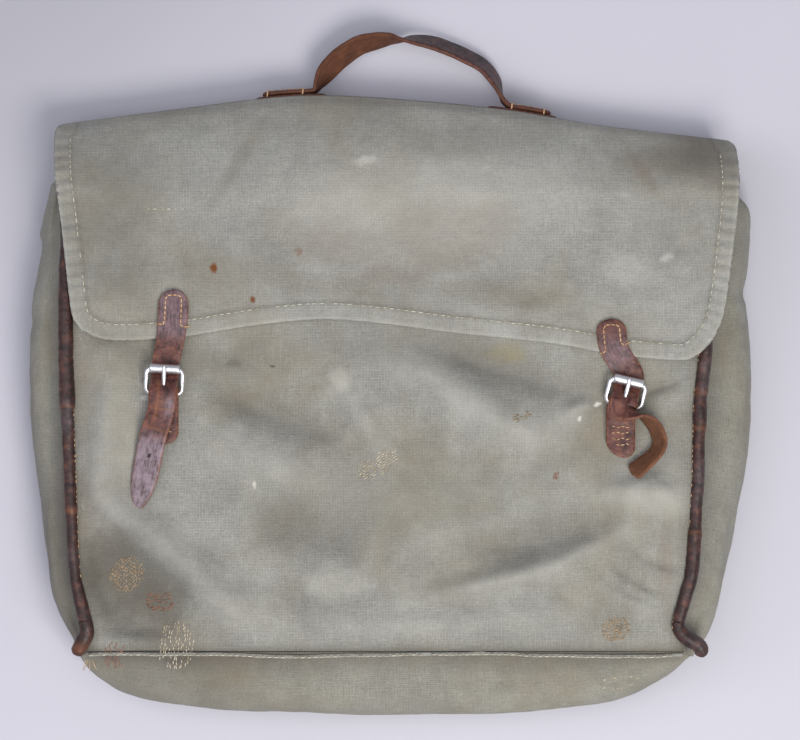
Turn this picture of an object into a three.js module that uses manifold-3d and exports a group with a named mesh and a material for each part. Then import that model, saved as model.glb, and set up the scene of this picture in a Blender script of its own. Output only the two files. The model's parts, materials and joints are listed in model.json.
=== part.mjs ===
// A canvas mail sack lying on its back: flat back panel down, flap and buckles up, carry handle
// at the top. X runs across the sack, Y from its base to its handle, Z out of its front.
// The origin lies under the middle of the back panel, on the plane that the sack rests on.

import * as THREE from 'three';
import { mergeVertices } from 'three/addons/utils/BufferGeometryUtils.js';
import Module from 'manifold-3d';

const { smoothstep, lerp, degToRad } = THREE.MathUtils;

// ---- Driving dimensions, in millimetres and degrees ----

const GAP = 0.3;                 // left between pieces that touch
const SEAM_GAP = 0.9;            // between the walls and the sewn edge of the front panel
const CANVAS = 2;                // canvas with its turnings
const LEATHER = 2.5;             // straps and chapes

const HALF_WIDTH = 204;          // back panel, middle to side seam
const SACK_HEIGHT = 366;         // back panel, lower edge to top fold
const BACK_BASE_Y = -180;        // back panel's lower edge
const BACK_CORNER = 42;          // radius of its lower corners
const TOP_ARCH = 22;             // how far the top fold drops at its ends
const TOP_Y = BACK_BASE_Y + SACK_HEIGHT;

const SACK_DEPTH = 60;           // resting plane to the inner face of the front panel
const MOUTH_DROP = 12;           // how much thinner the sack is at its mouth
const THROAT = 58;               // top fold to the front panel's upper edge
const SLOPE_LENGTH = 83;         // stretch of the front that slopes down to the mouth
const MOUTH_Y = TOP_Y - THROAT;
const SLOPE_Y = MOUTH_Y - SLOPE_LENGTH;
const MOUTH_HEM = 12;            // turned hem at the mouth
const HEM_EXTRA = 1.5;           // how much thicker the hem is

const FRONT_INSET = 14;          // each side of the front panel, at the mouth, inside the back's
const BASE_RISE = 28;            // the front panel's lower seam above the back's
const FRONT_HALF_WIDTH = HALF_WIDTH - FRONT_INSET;
const FRONT_BASE_Y = BACK_BASE_Y + BASE_RISE;
const FRONT_TAPER = 5;           // how much narrower each side is at the base
const FRONT_CORNER = 12;
const DRAW_IN = 8;               // how far each side seam is drawn in above its lower end
const DRAW_IN_Y = FRONT_BASE_Y + 17;
const DRAW_IN_LENGTH = 17;
const SIDE_BULGE = 45;           // pull of the side and bottom walls outwards

const PIPING_RADIUS = 3.6;       // leather welt in each side seam
const PIPING_WALL = 1.2;
const CORD_RADIUS = 2.1;         // filler cord in the welt
const SLEEVE_RADIUS = 4.6;       // wider second wrap on the upper welt
const SLEEVE_SPAN = [126, 188];  // its ends, below the top fold
const PIPING_CURL = 6;           // how far the welt's lower end turns outwards

const BAND_HEIGHT = 26;          // standing canvas fold that carries the handle
const BAND_INSET = 6;            // each of its ends inside the side seams

const FLAP_OVERHANG = 1;         // each side of the flap beyond the side seams
const FLAP_HALF_WIDTH = HALF_WIDTH + FLAP_OVERHANG;
const FLAP_SHIFT = 7;            // the flap lies this far off the middle
const FLAP_TAPER = 8;            // how much narrower each side is at the hem
const FLAP_HEM_CORNER = 15;
const FLAP_LIFT = 5.5;           // how far the flap's sides ride up over the welts
const FLAP_LIFT_START = FRONT_HALF_WIDTH - 38;
const FLAP_CLEARANCE = 0.8;      // between the flap and what it lies on
// Drops of the flap's hem below the top fold, evenly spaced from its left to its right side.
const FLAP_HEM = [149, 148, 136, 140, 147, 150, 158];

const STRAP_WIDTH = 16.5;
const TAB_FLARE = 2;             // extra width of the sewn strap end
const PRONG_HOLE_WIDTH = 3.6;
const PRONG_HOLE = [-3.2, 8];    // from the heel bar, along the strap

const FRAME_WIDTH = STRAP_WIDTH + 8.5;  // buckle, outside
const FRAME_WIRE = 3;
const FRAME_CORNER = 4;
const FRAME_BEVEL = 1.1;
const BAR_SPACING = 15.2;        // heel bar to roller bar
const ROLLER_RADIUS = 3;
const ROLLER_BORE = 2.1;
const ROLLER_LENGTH = STRAP_WIDTH + 1.8;
const ROLLER_CLEARANCE = 1.7;    // above and below the strap that passes under it
const ROLLER_HEIGHT = LEATHER + ROLLER_CLEARANCE + ROLLER_RADIUS;  // axis above the front panel

const PRONG_WIDTH = 2.2;
const PRONG_THICKNESS = 1.8;
const PRONG_EYE = 3.2;
const PRONG_BORE = 2.1;
const PRONG_REACH = 18.2;

const CHAPE_WIDTH = STRAP_WIDTH + 1.5;
const CHAPE_LENGTH = 31;
const CHAPE_CORNER = [0.92, 0.34];  // where its lower corners are cut, in widths from its end
const CHAPE_BORE = 2.2;
const CHAPE_SKIVE = 0.3;         // how much its leather is thinned where it folds
const CHAPE_SLOT = [4.4, 3.9, 5];  // width, reach behind the bar, reach in front of it
const CHAPE_FOLD = CHAPE_BORE + LEATHER - CHAPE_SKIVE;
const HEEL_HEIGHT = GAP + CHAPE_FOLD;  // heel bar's axis above the front panel

const HANDLE_CENTRE_X = 14.5;
const HANDLE_HALF_SPAN = 56;
const HANDLE_RISE = 31;          // sewn ends to the crown of the loop
const HANDLE_THICKNESS = 3;
const HANDLE_WIDTH = 20;
const HANDLE_LEVEL = 13;         // its middle above the resting plane
const HANDLE_TAB = 30;           // sewn length at each end
const PATCH_LENGTH = 44;
const PATCH_THICKNESS = 2;

// Each buckle's heel bar, how far it is turned and how far its strap enters it aslant, with the
// strap's route from the sewn tab on the flap down to the loose tip: places on the front, each a
// distance from the middle and a drop below the top fold.
const SIDES = {
  left: {
    heel: [-134, 180.5], turn: -3, slant: 0,
    tab: [[-128, 117], [-128.6, 134], [-130.5, 150]],
    tail: [[-139.5, 203], [-144.5, 222], [-146, 248]],
  },
  right: {
    heel: [145.3, 187.7], turn: -14, slant: 3,
    tab: [[138.5, 135], [138.7, 144], [140.5, 154]],
    tail: [[144, 208], [150, 222], [156, 242]],
  },
};

// ---- Finishes ----

const finish = (color, roughness, metalness) => () =>
  new THREE.MeshStandardMaterial({ color, roughness, metalness });
const canvas = finish(0x98958b, 0.95, 0);
const flapCanvas = finish(0xa3a095, 0.95, 0);
const strapLeather = finish(0x7e5f58, 0.6, 0);
const weltLeather = finish(0x5e463f, 0.65, 0);
const handleLeather = finish(0x6b544d, 0.55, 0);
const cord = finish(0xb5a88c, 0.9, 0);
const nickel = finish(0xdcdce0, 0.25, 1);

// ---- Building blocks ----

const wasm = await Module();
wasm.setup();

/** Position-only copy of a geometry, with shared corners merged. */
function weld(geometry) {
  const bare = geometry.index ? geometry : geometry.clone();
  bare.deleteAttribute('normal');
  bare.deleteAttribute('uv');
  return mergeVertices(bare, 1e-5);
}

/** Signed volume, positive when the faces point out. */
function volume(geometry) {
  const position = geometry.attributes.position;
  const corner = [0, 1, 2].map(() => new THREE.Vector3());
  let sum = 0;
  for (let i = 0; i < geometry.index.count; i += 3) {
    corner.forEach((c, k) => c.fromBufferAttribute(position, geometry.index.getX(i + k)));
    sum += corner[0].dot(corner[1].clone().cross(corner[2])) / 6;
  }
  return sum;
}

/** A closed slab of nu by nv cells, each corner (u, v, w in 0..1) carried to place(u, v, w). */
function slab(nu, nv, place) {
  const geometry = weld(new THREE.BoxGeometry(1, 1, 1, nu, nv, 1));
  const position = geometry.attributes.position;
  for (let i = 0; i < position.count; i++) {
    const [u, v, w] = [position.getX(i), position.getY(i), position.getZ(i)].map(c => c + 0.5);
    position.setXYZ(i, ...place(u, v, w));
  }
  if (volume(geometry) < 0) {
    const index = geometry.index;
    for (let i = 0; i < index.count; i += 3) {
      const swap = index.getX(i + 1);
      index.setX(i + 1, index.getX(i + 2));
      index.setX(i + 2, swap);
    }
  }
  return geometry;
}

/** A round or ring section swept along a curve. */
function tube(curve, radius, bore, steps) {
  const section = new THREE.Shape().absarc(0, 0, radius, 0, Math.PI * 2);
  if (bore) section.holes.push(new THREE.Path().absarc(0, 0, bore, 0, Math.PI * 2, true));
  return weld(new THREE.ExtrudeGeometry(section, {
    extrudePath: curve, steps, curveSegments: 8, bevelEnabled: false,
  }));
}

/** A shape drawn in a side view (along the strap, up) and extruded across the strap. */
function acrossStrap(shape, width, curveSegments = 12) {
  const geometry = new THREE.ExtrudeGeometry(shape, { depth: width, curveSegments, bevelEnabled: false });
  geometry.translate(0, 0, -width / 2);
  const toSide = new THREE.Matrix4().set(0, 0, 1, 0, 1, 0, 0, 0, 0, 1, 0, 0, 0, 0, 0, 1);
  return weld(geometry.applyMatrix4(toSide));
}

const toManifold = geometry => {
  const merged = weld(geometry);
  return new wasm.Manifold(new wasm.Mesh({
    numProp: 3,
    vertProperties: new Float32Array(merged.attributes.position.array),
    triVerts: new Uint32Array(merged.index.array),
  }));
};

/** The first geometry with the others cut away. */
function cut(geometry, ...tools) {
  const solid = tools.reduce((left, tool) => left.subtract(toManifold(tool)), toManifold(geometry));
  const mesh = solid.getMesh();
  const result = new THREE.BufferGeometry();
  result.setAttribute('position', new THREE.BufferAttribute(mesh.vertProperties, 3));
  result.setIndex(new THREE.BufferAttribute(mesh.triVerts, 1));
  return result;
}

function piece(name, geometry, material, parent) {
  const mesh = new THREE.Mesh(geometry, material());
  mesh.name = name;
  parent.add(mesh);
  return mesh;
}

// ---- Outline of the sack ----

const topEdge = x => TOP_Y - TOP_ARCH * (x / HALF_WIDTH) ** 2;
const frontLevel = y => SACK_DEPTH - MOUTH_DROP * smoothstep(y, SLOPE_Y, MOUTH_Y);

/** Half the front panel's width at y: slightly tapered and drawn in above the lower end. */
function frontHalf(y) {
  const down = (MOUTH_Y - y) / (MOUTH_Y - FRONT_BASE_Y);
  const drawn = DRAW_IN * Math.exp(-(((y - DRAW_IN_Y) / DRAW_IN_LENGTH) ** 2));
  return FRONT_HALF_WIDTH - FRONT_TAPER * down - drawn;
}

const BACK_RIM = { half: () => HALF_WIDTH, base: BACK_BASE_Y, corner: BACK_CORNER };
const FRONT_RIM = { half: frontHalf, base: FRONT_BASE_Y, corner: FRONT_CORNER };

/** A point of a rim, inset from it: s is 0..1 down the left side, 1..2 round the corner,
 *  2..3 along the base, 3..4 round the right corner and 4..5 up the right side. */
function rimPoint(rim, s, inset) {
  const cornerY = rim.base + rim.corner;
  const radius = rim.corner - inset;
  const side = s < 2.5 ? -1 : 1;
  const along = side < 0 ? s : 5 - s;
  if (along < 1) {
    const y = lerp(MOUTH_Y, cornerY, along);
    return [side * (rim.half(y) - inset), y];
  }
  const middle = rim.half(cornerY) - rim.corner;
  if (along < 2) {
    const angle = (along - 1) * Math.PI / 2;
    return [side * (middle + radius * Math.cos(angle)), cornerY - radius * Math.sin(angle)];
  }
  return [side * middle * (1 - 2 * (along - 2)), rim.base + inset];
}

/** A stretch of the wall between the back and front seams, bulging outwards. */
function wall(from, to, cells) {
  const low = CANVAS + GAP;
  return slab(cells, 6, (u, v, w) => {
    const s = lerp(from, to, u);
    const inset = w * CANVAS;
    const [backX, backY] = rimPoint(BACK_RIM, s, inset);
    const [frontX, frontY] = rimPoint(FRONT_RIM, s, inset);
    const high = frontLevel(frontY) - SEAM_GAP;
    const along = s < 2.5 ? s : 5 - s;
    const angle = THREE.MathUtils.clamp(along - 1, 0, 1) * Math.PI / 2;
    const side = s < 2.5 ? -1 : 1;
    const bulge = SIDE_BULGE * 2 * v * (1 - v);
    return [
      lerp(backX, frontX, v) + side * bulge * Math.cos(angle),
      lerp(backY, frontY, v) - bulge * Math.sin(angle),
      lerp(low, high, v),
    ];
  });
}

// ---- Sack ----

function backPanel() {
  const cornerY = BACK_BASE_Y + BACK_CORNER;
  return slab(10, 20, (u, v, w) => {
    const level = lerp(BACK_BASE_Y, TOP_Y, v ** 1.5);
    const below = Math.max(0, cornerY - level);
    const round = BACK_CORNER - Math.sqrt(BACK_CORNER ** 2 - below ** 2);
    const x = lerp(-1, 1, u) * (HALF_WIDTH - round);
    const drop = (TOP_Y - topEdge(x)) * smoothstep(level, MOUTH_Y, TOP_Y);
    return [x, level - drop, w * CANVAS];
  });
}

function frontPanel() {
  const cornerY = FRONT_BASE_Y + FRONT_CORNER;
  return slab(8, 22, (u, v, w) => {
    const y = lerp(FRONT_BASE_Y, MOUTH_Y - MOUTH_HEM - GAP, v);
    const below = Math.max(0, cornerY - y);
    const round = FRONT_CORNER - Math.sqrt(FRONT_CORNER ** 2 - below ** 2);
    return [lerp(-1, 1, u) * (frontHalf(Math.max(y, cornerY)) - round), y, frontLevel(y) + w * CANVAS];
  });
}

function mouthHem() {
  return slab(8, 1, (u, v, w) => {
    const y = lerp(MOUTH_Y - MOUTH_HEM, MOUTH_Y, v);
    const x = lerp(-1, 1, u) * (frontHalf(y) - 2 * CANVAS);
    return [x, y, frontLevel(y) + lerp(-HEM_EXTRA, CANVAS, w)];
  });
}

function topBand() {
  return slab(20, 1, (u, v, w) => {
    const x = lerp(-1, 1, u) * (HALF_WIDTH - BAND_INSET);
    return [x, topEdge(x) - w * CANVAS, lerp(CANVAS + GAP, BAND_HEIGHT, v)];
  });
}

/** The route of a side seam's welt between two heights, side being -1 or 1. */
function weltRoute(side, from, to) {
  const points = [];
  const count = Math.ceil(Math.abs(from - to) / 14);
  const beside = SLEEVE_RADIUS + 2 * GAP;
  for (let i = 0; i <= count; i++) {
    const y = lerp(from, to, i / count);
    const curl = PIPING_CURL * smoothstep(-y, -FRONT_BASE_Y - 14, -FRONT_BASE_Y);
    points.push(new THREE.Vector3(
      side * (frontHalf(y) + beside + curl), y, frontLevel(y) + CANVAS + 2 * GAP));
  }
  return new THREE.CatmullRomCurve3(points);
}

function flapPanel() {
  const hem = new THREE.SplineCurve(FLAP_HEM.map((drop, i) => new THREE.Vector2(i, TOP_Y - drop)));
  return slab(24, 14, (u, v, w) => {
    const across = lerp(-1, 1, u);
    const x = FLAP_SHIFT + across * (FLAP_HALF_WIDTH - FLAP_TAPER * v);
    const fromSide = (1 - Math.abs(across)) * FLAP_HALF_WIDTH;
    const inCorner = Math.max(0, FLAP_HEM_CORNER - fromSide);
    const round = FLAP_HEM_CORNER - Math.sqrt(FLAP_HEM_CORNER ** 2 - inCorner ** 2);
    const hemY = hem.getPoint(u).y + round;
    const y = lerp(topEdge(x), hemY, v);
    const over = Math.min(y, MOUTH_Y);
    const lift = FLAP_LIFT * smoothstep(Math.abs(x), FLAP_LIFT_START, FRONT_HALF_WIDTH - 5);
    const onFront = frontLevel(over) + CANVAS + FLAP_CLEARANCE + lift;
    const past = Math.max(0, (y - MOUTH_Y) / (topEdge(x) - MOUTH_Y));
    return [x, y, lerp(onFront, BAND_HEIGHT + GAP, past ** 1.5) + w * CANVAS];
  });
}

// ---- Buckles and straps, each side in a frame at its heel bar ----

const onFront = SACK_DEPTH + CANVAS;     // outer face of the front panel
const frameTilt = Math.atan2(ROLLER_HEIGHT - HEEL_HEIGHT, BAR_SPACING);

function buckleFrame() {
  const half = FRAME_WIDTH / 2 - FRAME_BEVEL;
  const wire = FRAME_WIRE - 2 * FRAME_BEVEL;
  const outline = (shape, inset, corner) => {
    const right = half - inset;
    const top = BAR_SPACING + wire / 2 - inset;
    const base = -wire / 2 + inset;
    shape.moveTo(right, base + corner).lineTo(right, top - corner);
    shape.absarc(right - corner, top - corner, corner, 0, Math.PI / 2, false);
    shape.absarc(-right + corner, top - corner, corner, Math.PI / 2, Math.PI, false);
    shape.absarc(-right + corner, base + corner, corner, Math.PI, Math.PI * 1.5, false);
    shape.absarc(right - corner, base + corner, corner, Math.PI * 1.5, Math.PI * 2, false);
    return shape;
  };
  const shape = outline(new THREE.Shape(), 0, FRAME_CORNER - FRAME_BEVEL);
  shape.holes.push(outline(new THREE.Path(), wire, 1.4));
  const geometry = new THREE.ExtrudeGeometry(shape, {
    depth: wire, curveSegments: 4, bevelEnabled: true,
    bevelSize: FRAME_BEVEL, bevelThickness: FRAME_BEVEL, bevelSegments: 2,
  });
  return weld(geometry.translate(0, 0, -wire / 2));
}

function roller() {
  const half = ROLLER_LENGTH / 2;
  const profile = [
    [ROLLER_BORE, -half], [ROLLER_RADIUS, -half], [ROLLER_RADIUS, half], [ROLLER_BORE, half],
    [ROLLER_BORE, -half],
  ].map(([r, y]) => new THREE.Vector2(r, y));
  return weld(new THREE.LatheGeometry(profile, 20).rotateZ(Math.PI / 2));
}

/** The prong: an eye round the heel bar and a flat shaft whose tip lies on the roller. */
function prong() {
  const rest = ROLLER_RADIUS + GAP;
  const shape = new THREE.Shape();
  const leave = degToRad(38);
  shape.absarc(0, 0, PRONG_EYE, Math.PI * 0.55, Math.PI * 2 + leave, false);
  shape.lineTo(BAR_SPACING - 3, rest);
  shape.lineTo(PRONG_REACH, rest);
  shape.lineTo(PRONG_REACH, rest + PRONG_THICKNESS / 2);
  shape.lineTo(PRONG_REACH - 1, rest + PRONG_THICKNESS);
  shape.lineTo(BAR_SPACING - 4, rest + PRONG_THICKNESS);
  shape.holes.push(new THREE.Path().absarc(0, 0, PRONG_BORE, 0, Math.PI * 2, true));
  return acrossStrap(shape, PRONG_WIDTH);
}

/** The chape: leather folded round the heel bar, with a slot for the prong. Below the bar it is
 *  sewn down and hangs straight, however far the buckle is turned. */
function chape(turn) {
  const outer = CHAPE_FOLD;
  const sewn = GAP + 2 * LEATHER;
  const shape = new THREE.Shape();
  shape.moveTo(-CHAPE_LENGTH, GAP).lineTo(0, GAP);
  shape.absarc(0, HEEL_HEIGHT, outer, -Math.PI / 2, Math.PI / 2, false);
  shape.bezierCurveTo(-outer, HEEL_HEIGHT + outer, -1.3 * outer, sewn, -2.5 * outer, sewn);
  shape.lineTo(-CHAPE_LENGTH, sewn);
  shape.holes.push(new THREE.Path().absarc(0, HEEL_HEIGHT, CHAPE_BORE, 0, Math.PI * 2, true));
  const [slotWidth, behind, ahead] = CHAPE_SLOT;
  const slot = new THREE.BoxGeometry(slotWidth, behind + ahead, 4 * HEEL_HEIGHT);
  slot.translate(0, (ahead - behind) / 2, HEEL_HEIGHT);
  const corner = new THREE.BoxGeometry(CHAPE_WIDTH, CHAPE_WIDTH, 4 * HEEL_HEIGHT);
  const [left, right] = [-1, 1].map(side => corner.clone()
    .rotateZ(Math.PI / 4)
    .translate(side * CHAPE_WIDTH * CHAPE_CORNER[0], -CHAPE_LENGTH - CHAPE_WIDTH * CHAPE_CORNER[1], HEEL_HEIGHT));
  const folded = cut(acrossStrap(shape, CHAPE_WIDTH), slot, left, right);
  const position = folded.attributes.position;
  const lean = -Math.tan(degToRad(turn));
  for (let i = 0; i < position.count; i++) {
    const below = Math.max(0, -position.getY(i) - HEEL_HEIGHT);
    position.setX(i, position.getX(i) + lean * below);
  }
  return folded;
}

/** The strap where it passes the buckle: distance from the heel bar, and how far it has climbed
 *  from the front panel (0) to the top of the chape's fold (1). */
const OVER_BUCKLE = [
  ...[[5, 0.015], [0, 0.005], [-3.5, 0.126]].map(([past, climb]) => [BAR_SPACING + past, climb]),
  ...[[1.86, 0.445], [1.16, 0.74], [0.55, 0.94], [-0.11, 1.01], [-0.91, 0.96], [-2.05, 0.75]]
    .map(([folds, climb]) => [folds * CHAPE_FOLD, climb]),
];

/** A leather ribbon along places [x, y, z], its ends rounded as asked. */
function ribbon(places, width, ends, cells) {
  const curve = new THREE.CatmullRomCurve3(places.map(p => new THREE.Vector3(...p)), false, 'centripetal');
  const up = new THREE.Vector3(0, 0, 1);
  const length = curve.getLength();
  return slab(4, cells, (u, v, w) => {
    const middle = curve.getPointAt(v);
    const along = curve.getTangentAt(v);
    const side = along.clone().cross(up).normalize();
    const normal = side.clone().cross(along).normalize();
    const fromEnd = [v * length, (1 - v) * length];
    const round = ends.map((radius, k) => {
      const inside = Math.max(0, radius - fromEnd[k]);
      return radius ? Math.sqrt(Math.max(0.04, 1 - (inside / radius) ** 2)) : 1;
    });
    const half = width(v) / 2 * Math.min(...round);
    return middle.addScaledVector(side, lerp(-half, half, u))
      .addScaledVector(normal, (w - 0.5) * LEATHER).toArray();
  });
}

/** A place on the sack's front, given by its drop below the top fold, seen from a buckle's frame. */
function seenFrom({ heel, turn }, [x, drop]) {
  return new THREE.Vector2(x - heel[0], heel[1] - drop)
    .rotateAround(new THREE.Vector2(), degToRad(-turn)).toArray();
}

/** Height of the loose tail's middle: over the chape, then down on the front panel. */
function tailHeight(y) {
  const overChape = smoothstep(y, -CHAPE_LENGTH - 16, -CHAPE_LENGTH - 2);
  return 2 * GAP + LEATHER / 2 + 2 * LEATHER * overChape;
}

function strapPieces(side) {
  const onFlap = CANVAS + FLAP_CLEARANCE + 2 * GAP + LEATHER / 2;
  const tab = side.tab.map(place => [...seenFrom(side, place), onFlap]);
  const overFold = HEEL_HEIGHT + CHAPE_FOLD + GAP;
  const aslant = y => -side.slant * smoothstep(y, BAR_SPACING / 2, BAR_SPACING + 5);
  const buckle = OVER_BUCKLE.map(([y, climb]) =>
    [aslant(y), y, lerp(GAP, overFold, climb) + LEATHER / 2]);
  const [, leaveY, leaveZ] = buckle.at(-1);
  const stub = [1.2, 4].map(past => [0, leaveY - past, leaveZ - 0.4 * past]);
  const plan = new THREE.SplineCurve([[0, leaveY - 7], ...side.tail.map(place => seenFrom(side, place))]
    .map(place => new THREE.Vector2(...place)));
  const tail = plan.getPoints(8).map(({ x, y }) => [x, y, tailHeight(y)]);
  const hole = new THREE.BoxGeometry(PRONG_HOLE_WIDTH, PRONG_HOLE[1] - PRONG_HOLE[0], 4 * ROLLER_HEIGHT)
    .translate(0, (PRONG_HOLE[0] + PRONG_HOLE[1]) / 2, ROLLER_HEIGHT);
  const flare = v => STRAP_WIDTH + TAB_FLARE * (1 - smoothstep(v, 0.15, 0.45));
  return {
    strap: cut(ribbon([...tab, ...buckle], flare, [STRAP_WIDTH / 2, 0], 34), hole),
    tail: ribbon([...stub, ...tail], () => STRAP_WIDTH, [0, STRAP_WIDTH / 2], 22),
  };
}

// ---- Handle ----

/** The carry loop: a strap bent into a flattened arch, standing out from the top fold. */
function handleLoop() {
  const baseY = topEdge(HANDLE_HALF_SPAN) + PATCH_THICKNESS + 2 * HANDLE_THICKNESS;
  return slab(40, 1, (u, v, w) => {
    const angle = Math.PI * (1 - u);
    const reach = HANDLE_THICKNESS * (w - 0.5);
    const x = HANDLE_CENTRE_X + (HANDLE_HALF_SPAN + reach) * Math.sign(Math.cos(angle))
      * Math.abs(Math.cos(angle)) ** 0.8;
    const y = baseY + (HANDLE_RISE + reach) * Math.sin(angle) ** 0.8;
    return [x, y, HANDLE_LEVEL + HANDLE_WIDTH * (v - 0.5)];
  });
}

/** A flat piece standing against the top band, lifted from it and bent to follow it. */
function onBand(fromX, toX, lift, thickness) {
  return slab(4, 1, (u, v, w) => {
    const x = lerp(fromX, toX, u);
    return [x, topEdge(x) + lift + w * thickness, HANDLE_LEVEL + HANDLE_WIDTH * (v - 0.5)];
  });
}

// ---- Assembly ----

const sack = new THREE.Group();
piece('back_panel', backPanel(), canvas, sack);
piece('front_panel', frontPanel(), canvas, sack);
piece('left_gusset', wall(0, 1.495, 18), canvas, sack);
piece('bottom_panel', wall(1.505, 3.495, 18), canvas, sack);
piece('right_gusset', wall(3.505, 5, 18), canvas, sack);
piece('mouth_hem', mouthHem(), canvas, sack);
piece('top_band', topBand(), flapCanvas, sack);
piece('flap', flapPanel(), flapCanvas, sack);

for (const [name, side] of [['left', -1], ['right', 1]]) {
  const welt = weltRoute(side, MOUTH_Y - 2 * GAP, FRONT_BASE_Y);
  piece(`${name}_piping`, tube(welt, PIPING_RADIUS, PIPING_RADIUS - PIPING_WALL, 22), weltLeather, sack);
  piece(`${name}_piping_cord`, tube(welt, CORD_RADIUS, 0, 22), cord, sack);
  const sleeve = weltRoute(side, ...SLEEVE_SPAN.map(drop => TOP_Y - drop));
  piece(`${name}_piping_sleeve`, tube(sleeve, SLEEVE_RADIUS, PIPING_RADIUS + GAP, 8), weltLeather, sack);
}

for (const [name, side] of Object.entries(SIDES)) {
  const group = new THREE.Group();
  group.position.set(side.heel[0], TOP_Y - side.heel[1], onFront);
  group.rotation.z = degToRad(side.turn);
  sack.add(group);
  const { strap, tail } = strapPieces(side);
  piece(`${name}_strap`, strap, strapLeather, group);
  piece(`${name}_strap_tail`, tail, strapLeather, group);
  piece(`${name}_chape`, chape(side.turn), strapLeather, group);

  const buckle = new THREE.Group();
  buckle.position.z = HEEL_HEIGHT;
  buckle.rotation.x = frameTilt;
  group.add(buckle);
  piece(`${name}_buckle_frame`, buckleFrame(), nickel, buckle);
  piece(`${name}_buckle_prong`, prong(), nickel, buckle);
  piece(`${name}_buckle_roller`, roller(), nickel, buckle).position.y = BAR_SPACING;
}

piece('handle', handleLoop(), handleLeather, sack);
for (const [name, side] of [['left', -1], ['right', 1]]) {
  const root = HANDLE_CENTRE_X + side * (HANDLE_HALF_SPAN + HANDLE_THICKNESS / 2 + GAP);
  const patchFrom = HANDLE_CENTRE_X + side * (HANDLE_HALF_SPAN - (PATCH_LENGTH - HANDLE_TAB) / 2);
  const lift = GAP + PATCH_THICKNESS + GAP;
  const patch = onBand(patchFrom, patchFrom + side * PATCH_LENGTH, GAP, PATCH_THICKNESS);
  piece(`${name}_handle_patch`, patch, handleLeather, sack);
  const tab = onBand(root, root + side * HANDLE_TAB, lift, HANDLE_THICKNESS);
  piece(`${name}_handle_tab`, tab, handleLeather, sack);
}

export default sack;
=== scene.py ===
"""A canvas mail sack lying on its back, with leather straps, welts and carry handle.

Sizes are worked out in millimetres, X across the sack, Y from its base to its handle and Z out of
its front; meshes are made in metres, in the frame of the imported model.
"""

from __future__ import annotations

import json
import logging
import math
import random
from dataclasses import dataclass, field
from enum import Enum
from typing import Callable, Iterable, Sequence

import bmesh
import bpy
import numpy as np
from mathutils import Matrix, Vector, noise

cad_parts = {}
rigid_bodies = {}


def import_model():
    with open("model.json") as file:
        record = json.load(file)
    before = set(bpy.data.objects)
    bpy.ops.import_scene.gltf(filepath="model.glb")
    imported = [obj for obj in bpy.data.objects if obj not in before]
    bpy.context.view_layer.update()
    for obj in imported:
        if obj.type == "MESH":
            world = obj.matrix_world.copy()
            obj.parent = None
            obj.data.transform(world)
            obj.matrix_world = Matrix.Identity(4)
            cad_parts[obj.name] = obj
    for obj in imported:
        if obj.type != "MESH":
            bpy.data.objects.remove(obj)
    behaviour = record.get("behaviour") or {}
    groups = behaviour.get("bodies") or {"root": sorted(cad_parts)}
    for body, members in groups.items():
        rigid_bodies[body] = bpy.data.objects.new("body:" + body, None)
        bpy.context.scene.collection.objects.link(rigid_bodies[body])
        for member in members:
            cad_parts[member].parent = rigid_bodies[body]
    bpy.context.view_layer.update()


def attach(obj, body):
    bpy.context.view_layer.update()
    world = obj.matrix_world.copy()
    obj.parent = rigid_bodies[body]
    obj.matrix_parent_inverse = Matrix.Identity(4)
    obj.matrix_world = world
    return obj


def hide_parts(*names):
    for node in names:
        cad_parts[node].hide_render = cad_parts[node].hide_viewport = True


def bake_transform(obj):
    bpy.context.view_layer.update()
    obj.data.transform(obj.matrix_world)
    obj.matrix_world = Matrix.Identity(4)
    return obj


LOG = logging.getLogger("mail_sack")
MM = 0.001
Place = Sequence[float]


# ---- Small sums -------------------------------------------------------------------------------


def smoothstep(value: np.ndarray | float, low: float, high: float) -> np.ndarray:
    """Turn smoothly from 0 at low to 1 at high.

    Args:
        value: What is measured.
        low: Where the turn starts.
        high: Where it ends.

    Returns:
        The share from 0 to 1, shaped like value.
    """
    t = np.clip((np.asarray(value, float) - low) / (high - low), 0.0, 1.0)
    return t * t * (3 - 2 * t)


def spline(places: Sequence[Place], count: int) -> np.ndarray:
    """Draw a smooth curve through places, with evenly spread points.

    Args:
        places: Points of any number of values each.
        count: How many points the curve gets.

    Returns:
        An array of count rows.
    """
    p = np.asarray(places, float)
    ends = np.vstack([2 * p[0] - p[1], p, 2 * p[-1] - p[-2]])
    fine = []
    for i in range(len(p) - 1):
        a, b, c, d = ends[i : i + 4]
        t = np.linspace(0, 1, 24, endpoint=False)[:, None]
        fine.append(
            0.5 * (2 * b + (c - a) * t + (2 * a - 5 * b + 4 * c - d) * t**2 + (3 * b - a - 3 * c + d) * t**3)
        )
    curve = np.vstack([*fine, p[-1:]])
    steps = np.linalg.norm(np.diff(curve[:, : min(3, p.shape[1])], axis=0), axis=1)
    walked = np.concatenate([[0], np.cumsum(steps)])
    at = np.linspace(0, walked[-1], count)
    return np.stack([np.interp(at, walked, curve[:, k]) for k in range(p.shape[1])], axis=1)


def ripple(x: np.ndarray, y: np.ndarray, length: float, seed: float, octaves: int = 3) -> np.ndarray:
    """Give an uneven height from about -1 to 1, the same on each run.

    Args:
        x: Places across, in millimetres.
        y: Places along, in millimetres.
        length: Distance from one swelling to the next, in millimetres.
        seed: Moves the pattern to a different part of the noise.
        octaves: How many finer layers it has.

    Returns:
        The heights, shaped like x.
    """
    flat = np.stack([np.ravel(x), np.ravel(y)], axis=1) / length
    heights = [noise.fractal((a, b, seed), 0.7, 2.1, octaves) for a, b in flat]
    return np.asarray(heights, float).reshape(np.shape(x))


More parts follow.
